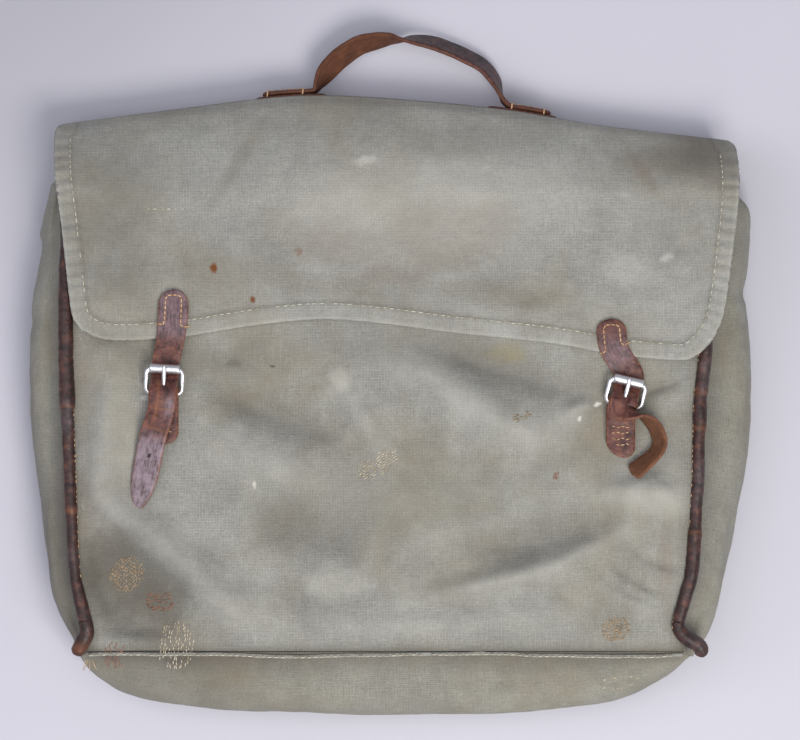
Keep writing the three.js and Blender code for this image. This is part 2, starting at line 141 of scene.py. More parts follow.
def linear(colour: str, strength: float = 1.0) -> tuple[float, float, float, float]:
    """Turn an sRGB hex colour to the linear values that shaders use.

    Args:
        colour: Six hex digits, such as "98958b".
        strength: Multiplies the linear values.

    Returns:
        Red, green, blue and an alpha of 1.
    """
    parts = [int(colour[i : i + 2], 16) / 255 for i in (0, 2, 4)]
    r, g, b = (strength * (c / 12.92 if c <= 0.04045 else ((c + 0.055) / 1.055) ** 2.4) for c in parts)
    return (r, g, b, 1.0)


# ---- Shape of the sack ------------------------------------------------------------------------


@dataclass(frozen=True)
class Fold:
    """A soft ridge (height above 0) or hollow (below 0) along a path on the front, in millimetres."""

    path: tuple[tuple[float, float], ...]
    width: float
    height: float

    def relief(self, x: np.ndarray, y: np.ndarray) -> np.ndarray:
        """Give the fold's height at places on the front.

        Args:
            x: Places across.
            y: Places along.

        Returns:
            Heights in millimetres, shaped like x.
        """
        route = spline(self.path, 24)
        best = np.full(np.shape(x), np.inf)
        share = np.zeros(np.shape(x))
        for i in range(len(route) - 1):
            a, step = route[i], route[i + 1] - route[i]
            t = np.clip(((x - a[0]) * step[0] + (y - a[1]) * step[1]) / (step @ step), 0, 1)
            away = np.hypot(x - a[0] - t * step[0], y - a[1] - t * step[1])
            closer = away < best
            best = np.where(closer, away, best)
            share = np.where(closer, (i + t) / (len(route) - 1), share)
        fade = np.sin(np.pi * np.clip(share, 0.03, 0.97)) ** 0.7
        return self.height * fade * np.exp(-((best / self.width) ** 2))


# Folds that the full-size front shows: the two long pulls from the buckles, the hollows under
# them, the rounded ridge down from the left welt and the creases near the lower right corner.
FRONT_FOLDS = (
    Fold(((-116, 14), (-71, -6), (-23, -25)), 9.5, -4.2),
    Fold(((-112, -14), (-72, -38), (-35, -52)), 15, 3.6),
    Fold(((10, 46), (59, 26), (124, 6)), 12, -4.4),
    Fold(((2, 34), (50, 2), (91, -18), (132, -4)), 12, 3.4),
    Fold(((-35, 26), (-15, -6), (4, -34)), 8, 2.2),
    Fold(((-90, -62), (-50, -74), (-8, -90)), 17, -4.6),
    Fold(((44, -90), (86, -86), (128, -70)), 13, -4.4),
    Fold(((-172, 18), (-170, -30), (-172, -58), (-134, -86), (-100, -120), (-72, -146)), 10, 4.4),
    Fold(((-182, -76), (-166, -110), (-124, -138)), 19, -6.2),
    Fold(((-184, -120), (-150, -140), (-110, -150)), 12, -3.0),
    Fold(((128, -58), (156, -52), (184, -62)), 9, 3.8),
    Fold(((160, -70), (107, -97), (50, -113), (10, -122)), 6.5, 3.0),
    Fold(((-92, -124), (-20, -136), (60, -134), (120, -124)), 10, 2.4),
    Fold(((138, -96), (152, -108), (172, -118)), 3.2, -1.8),
    Fold(((132, -110), (150, -122), (168, -128)), 3.0, 1.5),
    Fold(((150, -88), (166, -98), (182, -102)), 3.0, -1.6),
    Fold(((150, 2), (164, 8), (182, 14)), 3.5, -2.2),
    Fold(((108, -8), (122, -2), (132, 0)), 4, 1.6),
    Fold(((-60, -100), (-52, -122), (-48, -142)), 6, -1.8),
    Fold(((20, 20), (28, -4), (30, -30)), 8, -1.6),
    Fold(((-182, 46), (-150, 38), (-120, 32)), 7, -2.4),
)


@dataclass(frozen=True)
class SackForm:
    """The sack's outline and levels in millimetres, shared by every canvas and leather piece."""

    depth: float = 60.0
    canvas: float = 2.0
    mouth_y: float = 128.0
    slope_y: float = 45.0
    base_y: float = -152.0
    mouth_drop: float = 12.0
    band_height: float = 26.0
    fold_depth: float = 2.15
    top: tuple[tuple[float, float], ...] = (
        (-204, 171), (-140, 180), (-75, 188), (-37, 190), (10, 187.6), (73, 181.4), (136, 171), (212, 162),
    )
    # Welts from the mouth down to their lower ends: left and right.
    left_seam: tuple[tuple[float, float], ...] = (
        (-194, 128), (-194, 38), (-193, -4), (-191.3, -50), (-189, -100), (-185.2, -120), (-181, -138),
        (-181.2, -145), (-182, -152),
    )
    right_seam: tuple[tuple[float, float], ...] = (
        (196, 128), (196.2, 38), (192.8, 0), (191.4, -50), (188, -100), (184, -118), (179.3, -135),
        (180.5, -144), (184, -152),
    )
    # The widest outline, where the walls bulge, from each shoulder down and along the base.
    left_side: tuple[tuple[float, float], ...] = (
        (-206, 134), (-212, 106), (-211, 94), (-217, 52), (-217.6, 4), (-214, -43), (-206.5, -106),
        (-199, -130), (-187, -155),
    )
    right_side: tuple[tuple[float, float], ...] = (
        (218, 128), (225, 117), (224, 91), (221, 66), (222, 58), (225, 20), (222.4, -35), (213.5, -91),
        (201, -138), (190, -157),
    )
    base_side: tuple[tuple[float, float], ...] = (
        (-187, -155), (-181, -165), (-169, -174.5), (-150, -181), (-112, -187.5), (-72, -190), (0, -191.5),
        (73, -190.5), (136, -185), (168, -173), (182, -165), (190, -157),
    )

    def top_line(self, x: np.ndarray | float) -> np.ndarray:
        """Give the Y of the top fold at x."""
        curve = spline(self.top, 200)
        return np.interp(x, curve[:, 0], curve[:, 1])

    def level(self, y: np.ndarray | float) -> np.ndarray:
        """Give the height of the front's outer face at y, before any folds."""
        return self.depth + self.canvas - self.mouth_drop * smoothstep(y, self.slope_y, self.mouth_y)

    def seam_x(self, side: int, y: np.ndarray | float) -> np.ndarray:
        """Give the X of a side's welt at y, side being -1 or 1."""
        curve = spline(self.left_seam if side < 0 else self.right_seam, 120)[::-1]
        return np.interp(y, curve[:, 1], curve[:, 0])

    def front_edge(self, side: int, y: np.ndarray | float) -> np.ndarray:
        """Give the X where the front canvas meets the welt, or reaches under its foot near the base."""
        return self.seam_x(side, y) - side * (3.6 * smoothstep(y, -142, -132) - 1.0)

    def relief(self, x: np.ndarray, y: np.ndarray) -> np.ndarray:
        """Give the height of the front's folds, calm beside the buckles and along the seams.

        Args:
            x: Places across.
            y: Places along.

        Returns:
            Heights in millimetres.
        """
        x, y = np.broadcast_arrays(np.asarray(x, float), np.asarray(y, float))
        total = self.fold_depth * sum(fold.relief(x, y) for fold in FRONT_FOLDS)
        total = total + 2.2 * ripple(x, y, 55, 3.1) + 0.7 * ripple(x + 0.6 * y, y, 17, 8.4)
        calm = 1 - 0.78 * smoothstep(y, 22, 50)
        for centre in ((-133.5, -4), (144.5, -12)):
            away = np.hypot((x - centre[0]) / 15, (y - centre[1]) / 30)
            calm = calm * smoothstep(away, 0.75, 1.5)
        for side in (-1, 1):
            calm = calm * (0.25 + 0.75 * smoothstep(side * (self.front_edge(side, y) - x), 0, 14))
        calm = calm * (0.2 + 0.8 * smoothstep(y - self.base_y, 0, 14))
        tuck = -3.4 * (1 - smoothstep(y - self.base_y, 0, 9))
        rounded = -2.0 * (1 - smoothstep(y - self.base_y, 0, 46))
        return total * calm + tuck + rounded

    def front(self, x: np.ndarray, y: np.ndarray) -> np.ndarray:
        """Give the height of the front canvas's outer face."""
        return self.level(y) + self.relief(x, y)

    def flap(self, x: np.ndarray, y: np.ndarray) -> np.ndarray:
        """Give the height of the flap's outer face, lying over the front, welts and throat.

        Args:
            x: Places across.
            y: Places along.

        Returns:
            Heights in millimetres.
        """
        x, y = np.broadcast_arrays(np.asarray(x, float), np.asarray(y, float))
        over = np.minimum(y, self.mouth_y)
        across = np.where(x < 0, -x - 4, x - 6)
        lift = 5.2 * smoothstep(across, 152, 185)
        on_front = self.level(over) + 2.6 + lift + 0.35 * np.maximum(self.relief(x, over), -3)
        past = np.clip((y - self.mouth_y) / (self.top_line(x) - self.mouth_y), 0, 1)
        roll = 2.2 * smoothstep(past, 0.86, 1.0) ** 2
        slack = 1.9 * ripple(x * 0.8, y, 70, 21.0) + 0.5 * ripple(x, y, 22, 5.5)
        free = smoothstep(past, 0.0, 1.0)
        height = on_front + (self.band_height + 2.0 - on_front) * past**1.5 - roll
        near_tab = np.minimum(np.hypot((x + 129) / 15, (y - 50) / 26),
                              np.hypot((x - 139) / 15, (y - 36) / 26))
        return height + slack * (1 - 0.6 * free) * (0.15 + 0.85 * smoothstep(near_tab, 0.8, 1.6))


# ---- Mesh making ------------------------------------------------------------------------------


@dataclass
class Surface:
    """A grid of places in millimetres with what each one carries, ready to become a solid sheet."""

    middle: np.ndarray
    thickness: np.ndarray | float
    cloth: np.ndarray
    outward: tuple[float, float, float] | np.ndarray = (0.0, 0.0, 1.0)
    normal: np.ndarray | None = None
    marks: dict[str, np.ndarray] = field(default_factory=dict)
    keep: np.ndarray | None = None

    def normals(self) -> np.ndarray:
        """Give each place's unit normal, on the side that outward points to."""
        if self.normal is not None:
            return self.normal
        du = np.gradient(self.middle, axis=0)
        dv = np.gradient(self.middle, axis=1)
        normal = np.cross(du, dv)
        normal /= np.linalg.norm(normal, axis=2, keepdims=True) + 1e-12
        if np.sum(normal * np.asarray(self.outward)) < 0:
            normal = -normal
        return normal


def new_object(name: str, places: np.ndarray, faces: Sequence[Sequence[int]]) -> bpy.types.Object:
    """Make a smooth-shaded mesh object from places in millimetres.

    Args:
        name: The piece's name.
        places: Rows of x, y and z.
        faces: Corner numbers of each face.

    Returns:
        The new object, linked to the scene.
    """
    mesh = bpy.data.meshes.new(name)
    mesh.from_pydata((places * MM).tolist(), [], faces)
    shape = bmesh.new()
    shape.from_mesh(mesh)
    bmesh.ops.recalc_face_normals(shape, faces=shape.faces)
    shape.to_mesh(mesh)
    shape.free()
    mesh.polygons.foreach_set("use_smooth", [True] * len(mesh.polygons))
    piece = bpy.data.objects.new(name, mesh)
    bpy.context.scene.collection.objects.link(piece)
    return piece


def set_marks(piece: bpy.types.Object, marks: dict[str, np.ndarray], cloth: np.ndarray | None) -> None:
    """Store a value for each vertex, and the flat cloth place as a UV map in metres.

    Args:
        piece: The mesh object.
        marks: Values for each vertex, by name.
        cloth: Flat place of each vertex in millimetres, or None.
    """
    mesh = piece.data
    for name, values in marks.items():
        layer = mesh.attributes.new(name, "FLOAT", "POINT")
        layer.data.foreach_set("value", np.asarray(values, np.float32))
    if cloth is not None:
        corner = np.empty(len(mesh.loops), np.int64)
        mesh.loops.foreach_get("vertex_index", corner)
        layer = mesh.uv_layers.new(name="cloth")
        layer.data.foreach_set("uv", (cloth[corner] * MM).astype(np.float32).ravel())


def solid_sheet(name: str, surface: Surface) -> bpy.types.Object:
    """Make a closed sheet with real thickness and, where asked, holes.

    Args:
        name: The piece's name.
        surface: Its places and what they carry.

    Returns:
        The new object.
    """
    rows, columns = surface.middle.shape[:2]
    half = (np.broadcast_to(surface.thickness, (rows, columns)) / 2)[..., None] * surface.normals()
    places = np.concatenate([(surface.middle + half).reshape(-1, 3), (surface.middle - half).reshape(-1, 3)])
    keep = surface.keep if surface.keep is not None else np.ones((rows - 1, columns - 1), bool)
    low = rows * columns
    faces: list[list[int]] = []
    padded = np.zeros((rows + 1, columns + 1), bool)
    padded[1:-1, 1:-1] = keep
    for i in range(rows - 1):
        for j in range(columns - 1):
            if not keep[i, j]:
                continue
            a, b = i * columns + j, i * columns + j + 1
            c, d = b + columns, a + columns
            faces += [[a, b, c, d], [d + low, c + low, b + low, a + low]]
            beside = ((padded[i, j + 1], a, b), (padded[i + 1, j + 2], b, c),
                      (padded[i + 2, j + 1], c, d), (padded[i + 1, j], d, a))
            faces += [[p, q, q + low, p + low] for open_side, p, q in beside if not open_side]
    piece = new_object(name, places, faces)
    marks = {key: np.concatenate([np.ravel(v), np.ravel(v)]) for key, v in surface.marks.items()}
    marks["inside"] = np.concatenate([np.zeros(low), np.ones(low)])
    flat = surface.cloth.reshape(-1, 2)
    set_marks(piece, marks, np.concatenate([flat, flat]))
    used = bmesh.new()
    used.from_mesh(piece.data)
    bmesh.ops.delete(used, geom=[v for v in used.verts if not v.link_faces], context="VERTS")
    used.to_mesh(piece.data)
    used.free()
    return piece


def sweep(
    route: np.ndarray, radius: np.ndarray | float, sides: int, up: Place = (0, 0, 1), closed: bool = False,
    flat: float = 1.0,
) -> tuple[np.ndarray, list[list[int]], np.ndarray]:
    """Carry a round or oval section along a route.

    Args:
        route: Places in millimetres.
        radius: One value, or one for each place.
        sides: Corners of the section.
        up: Direction that the section's second axis keeps closest to.
        closed: Whether the route joins its own start.
        flat: The section's size along up, as a share of its radius.

    Returns:
        Places, faces, and for each place how far round and how far along it lies, in millimetres.
    """
    count = len(route)
    if closed:
        along = np.roll(route, -1, axis=0) - np.roll(route, 1, axis=0)
    else:
        along = np.gradient(route, axis=0)
    along /= np.linalg.norm(along, axis=1, keepdims=True) + 1e-12
    aside = np.cross(along, np.asarray(up, float))
    aside /= np.linalg.norm(aside, axis=1, keepdims=True) + 1e-12
    over = np.cross(aside, along)
    size = np.broadcast_to(np.asarray(radius, float), (count,))
    angle = np.arange(sides) * 2 * math.pi / sides
    ring = (np.cos(angle)[None, :, None] * aside[:, None, :]
            + flat * np.sin(angle)[None, :, None] * over[:, None, :]) * size[:, None, None]
    places = (route[:, None, :] + ring).reshape(-1, 3)
    walked = np.concatenate([[0], np.cumsum(np.linalg.norm(np.diff(route, axis=0), axis=1))])
    round_and_along = np.broadcast_arrays(angle[None, :] * size[:, None], walked[:, None])
    cloth = np.stack(round_and_along, axis=2).reshape(-1, 2)
    faces = []
    for i in range(count if closed else count - 1):
        k = (i + 1) % count
        for j in range(sides):
            n = (j + 1) % sides
            faces.append([i * sides + j, i * sides + n, k * sides + n, k * sides + j])
    if not closed:
        faces += [list(range(sides))[::-1], list(range((count - 1) * sides, count * sides))]
    return places, faces, cloth


def swept(name: str, route: np.ndarray, radius: np.ndarray | float, sides: int = 20,
          **options: object) -> bpy.types.Object:
    """Make a piece from a section carried along a route.

    Args:
        name: The piece's name.
        route: Places in millimetres.
        radius: One value, or one for each place.
        sides: Corners of the section.
        **options: Passed on to sweep.

    Returns:
        The new object.
    """
    places, faces, cloth = sweep(route, radius, sides, **options)
    piece = new_object(name, places, faces)
    set_marks(piece, {}, cloth)
    return piece


@dataclass
class Ribbon:
    """A leather strap along stations of x, y, z, width and roll in degrees, in millimetres."""

    stations: Sequence[Place]
    thickness: float = 2.5
    spacing: float = 1.2
    tip_start: float = 0.0
    tip_end: float = 0.0
    tip_power: float = 2.0
    across: int = 11
    aside: Place | None = None

    def build(self, name: str, hole: Callable[[np.ndarray, np.ndarray], np.ndarray] | None = None,
              marks: Callable[[np.ndarray, np.ndarray], dict[str, np.ndarray]] | None = None
              ) -> bpy.types.Object:
        """Make the strap.

        Args:
            name: The piece's name.
            hole: Says which places, across and along in millimetres, are cut out.
            marks: Gives further values for each place, from across and along.

        Returns:
            The new object.
        """
        rough = spline(self.stations, 400)
        length = float(np.sum(np.linalg.norm(np.diff(rough[:, :3], axis=0), axis=1)))
        rows = spline(self.stations, max(12, int(length / self.spacing)))
        along = np.linspace(0, length, len(rows))
        tangent = np.gradient(rows[:, :3], axis=0)
        tangent /= np.linalg.norm(tangent, axis=1, keepdims=True)
        aside = np.cross(tangent, (0.0, 0.0, 1.0))
        if self.aside is not None:
            aside = np.broadcast_to(np.asarray(self.aside, float), tangent.shape)
        aside = aside / (np.linalg.norm(aside, axis=1, keepdims=True) + 1e-9)
        normal = np.cross(aside, tangent)
        roll = np.radians(rows[:, 4])[:, None]
        aside, normal = (aside * np.cos(roll) + normal * np.sin(roll),
                         normal * np.cos(roll) - aside * np.sin(roll))
        share = np.sin(np.linspace(-math.pi / 2, math.pi / 2, self.across))
        share = 0.5 * share + 0.5 * np.linspace(-1, 1, self.across)
        ends = np.ones(len(rows))
        for reach, past in ((self.tip_start, along), (self.tip_end, length - along)):
            if reach:
                inside = np.clip(1 - past / reach, 0, 1)
                ends = np.minimum(ends, np.clip(1 - inside**self.tip_power, 0.0, 1) ** (1 / 2.0))
        half = rows[:, 3] / 2 * np.maximum(ends, 0.06)
        across = share[None, :] * half[:, None]
        middle = rows[:, None, :3] + aside[:, None, :] * across[..., None]
        edge = half[:, None] - np.abs(across)
        end_gap = np.minimum(along, length - along)[:, None]
        rim = np.minimum(edge, end_gap + 0.0 * edge)
        thick = self.thickness * (0.42 + 0.58 * np.sqrt(np.clip(rim / 1.1, 0, 1)))
        normals = np.broadcast_to(normal[:, None, :], middle.shape)
        grid_along = np.broadcast_to(along[:, None], across.shape)
        wear = ripple(across, grid_along, 7, 4.0)
        middle = middle + normals * (0.16 * wear)[..., None]
        values = {"edge": np.exp(-(rim / 1.5) ** 2), **(marks(across, grid_along) if marks else {})}
        keep = None
        if hole:
            mid_across = (across[:-1, :-1] + across[1:, 1:]) / 2
            mid_along = (grid_along[:-1, :-1] + grid_along[1:, 1:]) / 2
            keep = ~hole(mid_across, mid_along)
        cloth = np.stack([across, grid_along], axis=2)
        return solid_sheet(name, Surface(middle, thick, cloth, normal=normals, marks=values, keep=keep))


@dataclass
class Threads:
    """Stitches gathered into one piece: each is a short bowed length of thread."""

    name: str
    radius: float = 0.42
    seed: int = 7
    places: list[np.ndarray] = field(default_factory=list)
    faces: list[list[int]] = field(default_factory=list)

    def stitch(self, start: Place, end: Place, rise: float = 0.5, radius: float | None = None) -> None:
        """Lay one stitch from start to end, sunk at both ends.

        Args:
            start: Where the thread comes out, in millimetres.
            end: Where it goes in.
            rise: How far its middle stands up.
            radius: The thread's radius, when it isn't the usual one.
        """
        a, b = np.asarray(start, float), np.asarray(end, float)
        if np.linalg.norm(b - a) < 0.3:
            return
        size = radius or self.radius
        t = np.linspace(0, 1, 6)[:, None]
        route = a + (b - a) * t
        route[:, 2] += (rise * np.sin(np.pi * t) ** 0.6 - 0.55 * size)[:, 0]
        swell = size * (0.75 + 0.25 * np.sin(np.pi * t[:, 0]))
        places, faces, _ = sweep(route, swell, 6)
        first = sum(len(p) for p in self.places)
        self.places.append(places)
        self.faces += [[first + k for k in face] for face in faces]

    def row(self, route: np.ndarray, length: float, gap: float, rise: float = 0.5, wander: float = 0.12,
            missing: float = 0.0) -> None:
        """Sew a row of stitches along a route that lies on the surface.

        Args:
            route: Places in millimetres.
            length: Length of one stitch.
            gap: Distance from one stitch to the next.
            rise: How far each stands up.
            wander: How far its ends stray aside.
            missing: Share of the stitches that have worn away.
        """
        chance = random.Random(self.seed + len(self.places))
        walked = np.concatenate([[0], np.cumsum(np.linalg.norm(np.diff(route, axis=0), axis=1))])
        at = 0.0
        while at + length <= walked[-1]:
            ends = [np.array([np.interp(w, walked, route[:, k]) for k in range(3)])
                    for w in (at, at + length)]
            for end in ends:
                end[:2] += [chance.uniform(-wander, wander), chance.uniform(-wander, wander)]
            if chance.random() >= missing:
                self.stitch(ends[0], ends[1], rise)
            at += length + gap * chance.uniform(0.8, 1.25)

    def darn(self, centre: Place, size: Place, angle: float, pitch: float, length: float,
             height: Callable[[float, float], float], crossed: bool = False, fill: float = 0.8) -> None:
        """Fill a repair with uneven parallel stitches.

        Args:
            centre: Middle of the repair, x and y in millimetres.
            size: How long and how wide it is.
            angle: Direction of its stitches, in degrees.
            pitch: Distance from one row to the next.
            length: Usual length of a stitch.
            height: Gives the surface's height at x and y.
            crossed: Whether a second set crosses the first.
            fill: Share of the stitches that are there.
        """
        chance = random.Random(int(self.seed + centre[0] * 3 + centre[1]))
        for turn in (0.0, 90.0) if crossed else (0.0,):
            direction = np.array([math.cos(math.radians(angle + turn)), math.sin(math.radians(angle + turn))])
            aside = np.array([-direction[1], direction[0]])
            reach, width = (size if turn == 0 else size[::-1])
            for r in np.arange(-width / 2, width / 2 + 0.01, pitch):
                shrink = math.sqrt(max(0.1, 1 - (r / (width / 2 + pitch)) ** 2))
                s = -reach / 2 * shrink
                while s < reach / 2 * shrink:
                    step = length * chance.uniform(0.6, 1.4)
                    lean = chance.uniform(-0.5, 0.5)
                    p = np.asarray(centre[:2]) + direction * s + aside * (r + lean)
                    q = p + direction * step * 0.8 + aside * chance.uniform(-0.5, 0.5)
                    if chance.random() < fill:
                        self.stitch((*p, height(*p)), (*q, height(*q)), chance.uniform(0.3, 0.7))
                    s += step

    def build(self) -> bpy.types.Object:
        """Make the piece from every stitch laid so far."""
        return new_object(self.name, np.vstack(self.places), self.faces)


# ---- Finishes ---------------------------------------------------------------------------------


# Settings that most mixes share: one colour laid over another, and one colour multiplied by another.
LAY: dict[str | int, object] = {"data_type": "RGBA"}
TINT: dict[str | int, object] = {"data_type": "RGBA", "blend_type": "MULTIPLY", 0: 1.0}


def add_node(tree: bpy.types.NodeTree, kind: str, settings: dict[str | int, object] | None = None,
             **inputs: bpy.types.NodeSocket) -> bpy.types.Node:
    """Add a node with its settings and links.

    Args:
        tree: The material's node tree.
        kind: The node's type, such as "ShaderNodeTexNoise".
        settings: Node settings by name, inputs by name or number, and "ramp" for colour stops. An
            input that is given a socket is linked to it.
        **inputs: Further inputs by name, each linked to a socket.

    Returns:
        The new node.
    """
    node = tree.nodes.new(kind)
    for key, value in {**(settings or {}), **inputs}.items():
        if isinstance(value, bpy.types.NodeSocket):
            tree.links.new(value, node.inputs[key])
        elif key == "ramp":
            stops = node.color_ramp.elements
            while len(stops) < len(value):
                stops.new(0.5)
            for stop, (at, colour) in zip(stops, value):
                stop.position, stop.color = at, colour
        elif isinstance(key, str) and key not in node.inputs and hasattr(node, key):
            setattr(node, key, value)
        else:
            node.inputs[key].default_value = value
    return node


def grey(value: float) -> tuple[float, float, float, float]:
    """Give a neutral linear colour, for ramps that stand for amounts."""
    return (value, value, value, 1.0)


@dataclass(frozen=True)
class Finish:
    """What every finish shares: a name, and a principled shader that its own method dresses."""

    name: str

    def material(self) -> bpy.types.Material:
        """Make the material once, or give back the one already made."""
        made = bpy.data.materials.get(self.name)
        if made:
            return made
        made = bpy.data.materials.new(self.name)
        made.use_nodes = True
        tree = made.node_tree
        tree.nodes.clear()
        shader = add_node(tree, "ShaderNodeBsdfPrincipled")
        add_node(tree, "ShaderNodeOutputMaterial", Surface=shader.outputs["BSDF"])
        self.dress(tree, shader)
        return made

    def dress(self, tree: bpy.types.NodeTree, shader: bpy.types.Node) -> None:
        """Feed the shader: each finish has its own way."""
        raise NotImplementedError


@dataclass(frozen=True)
class Stain:
    """A soiled or bleached place, or a patch of painted light or shade: its middle, reach across and along,
    and turn, in millimetres.
    """

    centre: tuple[float, float]
    reach: tuple[float, float]
    colour: str
    strength: float
    turn: float = 0.0
    ragged: float = 0.5


@dataclass(frozen=True)
class WovenCanvas(Finish):
    """Olive-grey cotton canvas in plain weave: matt, flecked light and dark, soiled by handling.

    The flecks come from threads that took the dye unevenly; they give the eye a dry, open cloth.
    """

    ground: str = "92918a"
    pale: str = "b6b5ad"
    dark: str = "6c6b65"
    soil: str = "857a64"
    thread_mm: float = 0.95  # the real thread is about 0.6 mm; drawn coarser so that it shows
    stains: tuple[Stain, ...] = ()

    def dress(self, tree: bpy.types.NodeTree, shader: bpy.types.Node) -> None:
        """Weave the two sets of threads, then add dirt, stains, the pale rubbed hems, painted shade and
        painted highlights on the folds.
        """
        cloth = add_node(tree, "ShaderNodeUVMap", {"uv_map": "cloth"}).outputs["UV"]
        per_thread = 1000.0 / self.thread_mm
        split = add_node(tree, "ShaderNodeSeparateXYZ", {0: cloth})
        swell = []
        for place in split.outputs[:2]:
            turns = add_node(tree, "ShaderNodeMath", {"operation": "MULTIPLY", 0: place,
                                                      1: math.pi * per_thread}).outputs[0]
            wave = add_node(tree, "ShaderNodeMath", {"operation": "SINE", 0: turns}).outputs[0]
            swell.append(add_node(tree, "ShaderNodeMath", {"operation": "ABSOLUTE", 0: wave}).outputs[0])
        over = add_node(tree, "ShaderNodeTexChecker", {"Scale": per_thread, "Color1": grey(1),
                                                       "Color2": grey(0)}, Vector=cloth).outputs["Color"]
        weave = add_node(tree, "ShaderNodeMix", {**LAY, 0: over, 6: swell[0], 7: swell[1]}).outputs[2]
        tint = []
        for run in ((per_thread, 0.075 * per_thread, 1), (0.075 * per_thread, per_thread, 1)):
            place = add_node(tree, "ShaderNodeMapping", {"Scale": run}, Vector=cloth).outputs[0]
            tint.append(add_node(tree, "ShaderNodeTexNoise", {"Scale": 1.0, "Detail": 2.0, "Roughness": 0.7},
                                 Vector=place).outputs["Fac"])
        thread = add_node(tree, "ShaderNodeMix", {**LAY, 0: over, 6: tint[0], 7: tint[1]}).outputs[2]
        fleck = add_node(tree, "ShaderNodeTexNoise", {"Scale": 0.55 * per_thread, "Detail": 3.0,
                                                      "Roughness": 0.8}, Vector=cloth).outputs["Fac"]
        salt = add_node(tree, "ShaderNodeMix", {**LAY, 0: 0.5, 6: thread, 7: fleck}).outputs[2]
        salt = add_node(tree, "ShaderNodeMix", {**LAY, 0: 0.22, 6: salt, 7: weave}).outputs[2]
        pepper = add_node(tree, "ShaderNodeValToRGB", {0: salt, "ramp": (
            (0.24, linear(self.dark)), (0.50, linear(self.ground)), (0.76, linear(self.pale)))}).outputs[0]
        # Broad patches where the cloth has faded or holds dirt, some 90 mm and 25 mm across.
        broad = add_node(tree, "ShaderNodeTexNoise", {"Scale": 11.0, "Detail": 4.0, "Roughness": 0.62,
                                                      "Distortion": 0.4}, Vector=cloth).outputs["Fac"]
        patches = add_node(tree, "ShaderNodeValToRGB", {0: broad, "ramp": (
            (0.44, grey(0)), (0.70, grey(0.6)))}).outputs[0]
        colour = add_node(tree, "ShaderNodeMix", {**LAY, 0: patches, 6: pepper,
                                                  7: linear(self.soil)}).outputs[2]
        fade = add_node(tree, "ShaderNodeTexNoise", {"Scale": 32.0, "Detail": 5.0, "Roughness": 0.66},
                        Vector=cloth).outputs["Fac"]
        faded = add_node(tree, "ShaderNodeValToRGB", {0: fade, "ramp": (
            (0.40, grey(0.90)), (0.64, grey(1.08)))}).outputs[0]
        colour = add_node(tree, "ShaderNodeMix", {**TINT, 6: colour, 7: faded}).outputs[2]
        for stain in self.stains:
            colour = self.lay_stain(tree, cloth, colour, stain)
        # Short pale scratches where the cloth was dragged over something rough.
        slanted = add_node(tree, "ShaderNodeMapping", {"Rotation": (0, 0, 0.9), "Scale": (330, 70, 1)},
                           Vector=cloth).outputs[0]
        dragged = add_node(tree, "ShaderNodeTexNoise", {"Scale": 1.0, "Detail": 2.0, "Distortion": 2.2},
                           Vector=slanted).outputs["Fac"]
        scratched = add_node(tree, "ShaderNodeMapRange", {0: dragged, 1: 0.67, 2: 0.80, 3: 0.0,
                                                          4: 0.26}).outputs[0]
        colour = add_node(tree, "ShaderNodeMix", {**LAY, 0: scratched, 6: colour,
                                                  7: linear("c9c7bd")}).outputs[2]
        # The rubbed mark lightens worn hems and edges; on the front it also paints a highlight on the folds'
        # ridges.
        rubbed = add_node(tree, "ShaderNodeAttribute", {"attribute_name": "rubbed"}).outputs["Fac"]
        uneven = add_node(tree, "ShaderNodeMath", {"operation": "MULTIPLY", 0: rubbed, 1: fade}).outputs[0]
        uneven = add_node(tree, "ShaderNodeMath", {"operation": "MULTIPLY", 0: uneven, 1: 1.1}).outputs[0]
        colour = add_node(tree, "ShaderNodeMix", {**LAY, 0: uneven, 6: colour,
                                                  7: linear(self.pale)}).outputs[2]
        # This mark darkens with dirt along seams and with painted shade in fold hollows, creases, valleys
        # beside the welts and at the foot of walls.
        grime = add_node(tree, "ShaderNodeAttribute", {"attribute_name": "grime"}).outputs["Fac"]
        colour = add_node(tree, "ShaderNodeMix", {**LAY, 0: grime, 6: colour, 7: linear("564e43")}).outputs[2]
        tree.links.new(colour, shader.inputs["Base Color"])
        shader.inputs["Roughness"].default_value = 0.93
        shader.inputs["Specular IOR Level"].default_value = 0.18
        shader.inputs["Sheen Weight"].default_value = 0.10
        shader.inputs["Sheen Roughness"].default_value = 0.6
        crumple = add_node(tree, "ShaderNodeTexNoise", {"Scale": 95.0, "Detail": 4.0, "Roughness": 0.6},
                           Vector=cloth).outputs["Fac"]
        soft = add_node(tree, "ShaderNodeBump", {"Strength": 0.5, "Distance": 0.0022}, Height=crumple)
        raised = add_node(tree, "ShaderNodeMix", {**LAY, 0: 0.4, 6: weave, 7: salt}).outputs[2]
        fine = add_node(tree, "ShaderNodeBump", {"Strength": 0.55, "Distance": 0.00035}, Height=raised,
                        Normal=soft.outputs[0])
        tree.links.new(fine.outputs[0], shader.inputs["Normal"])

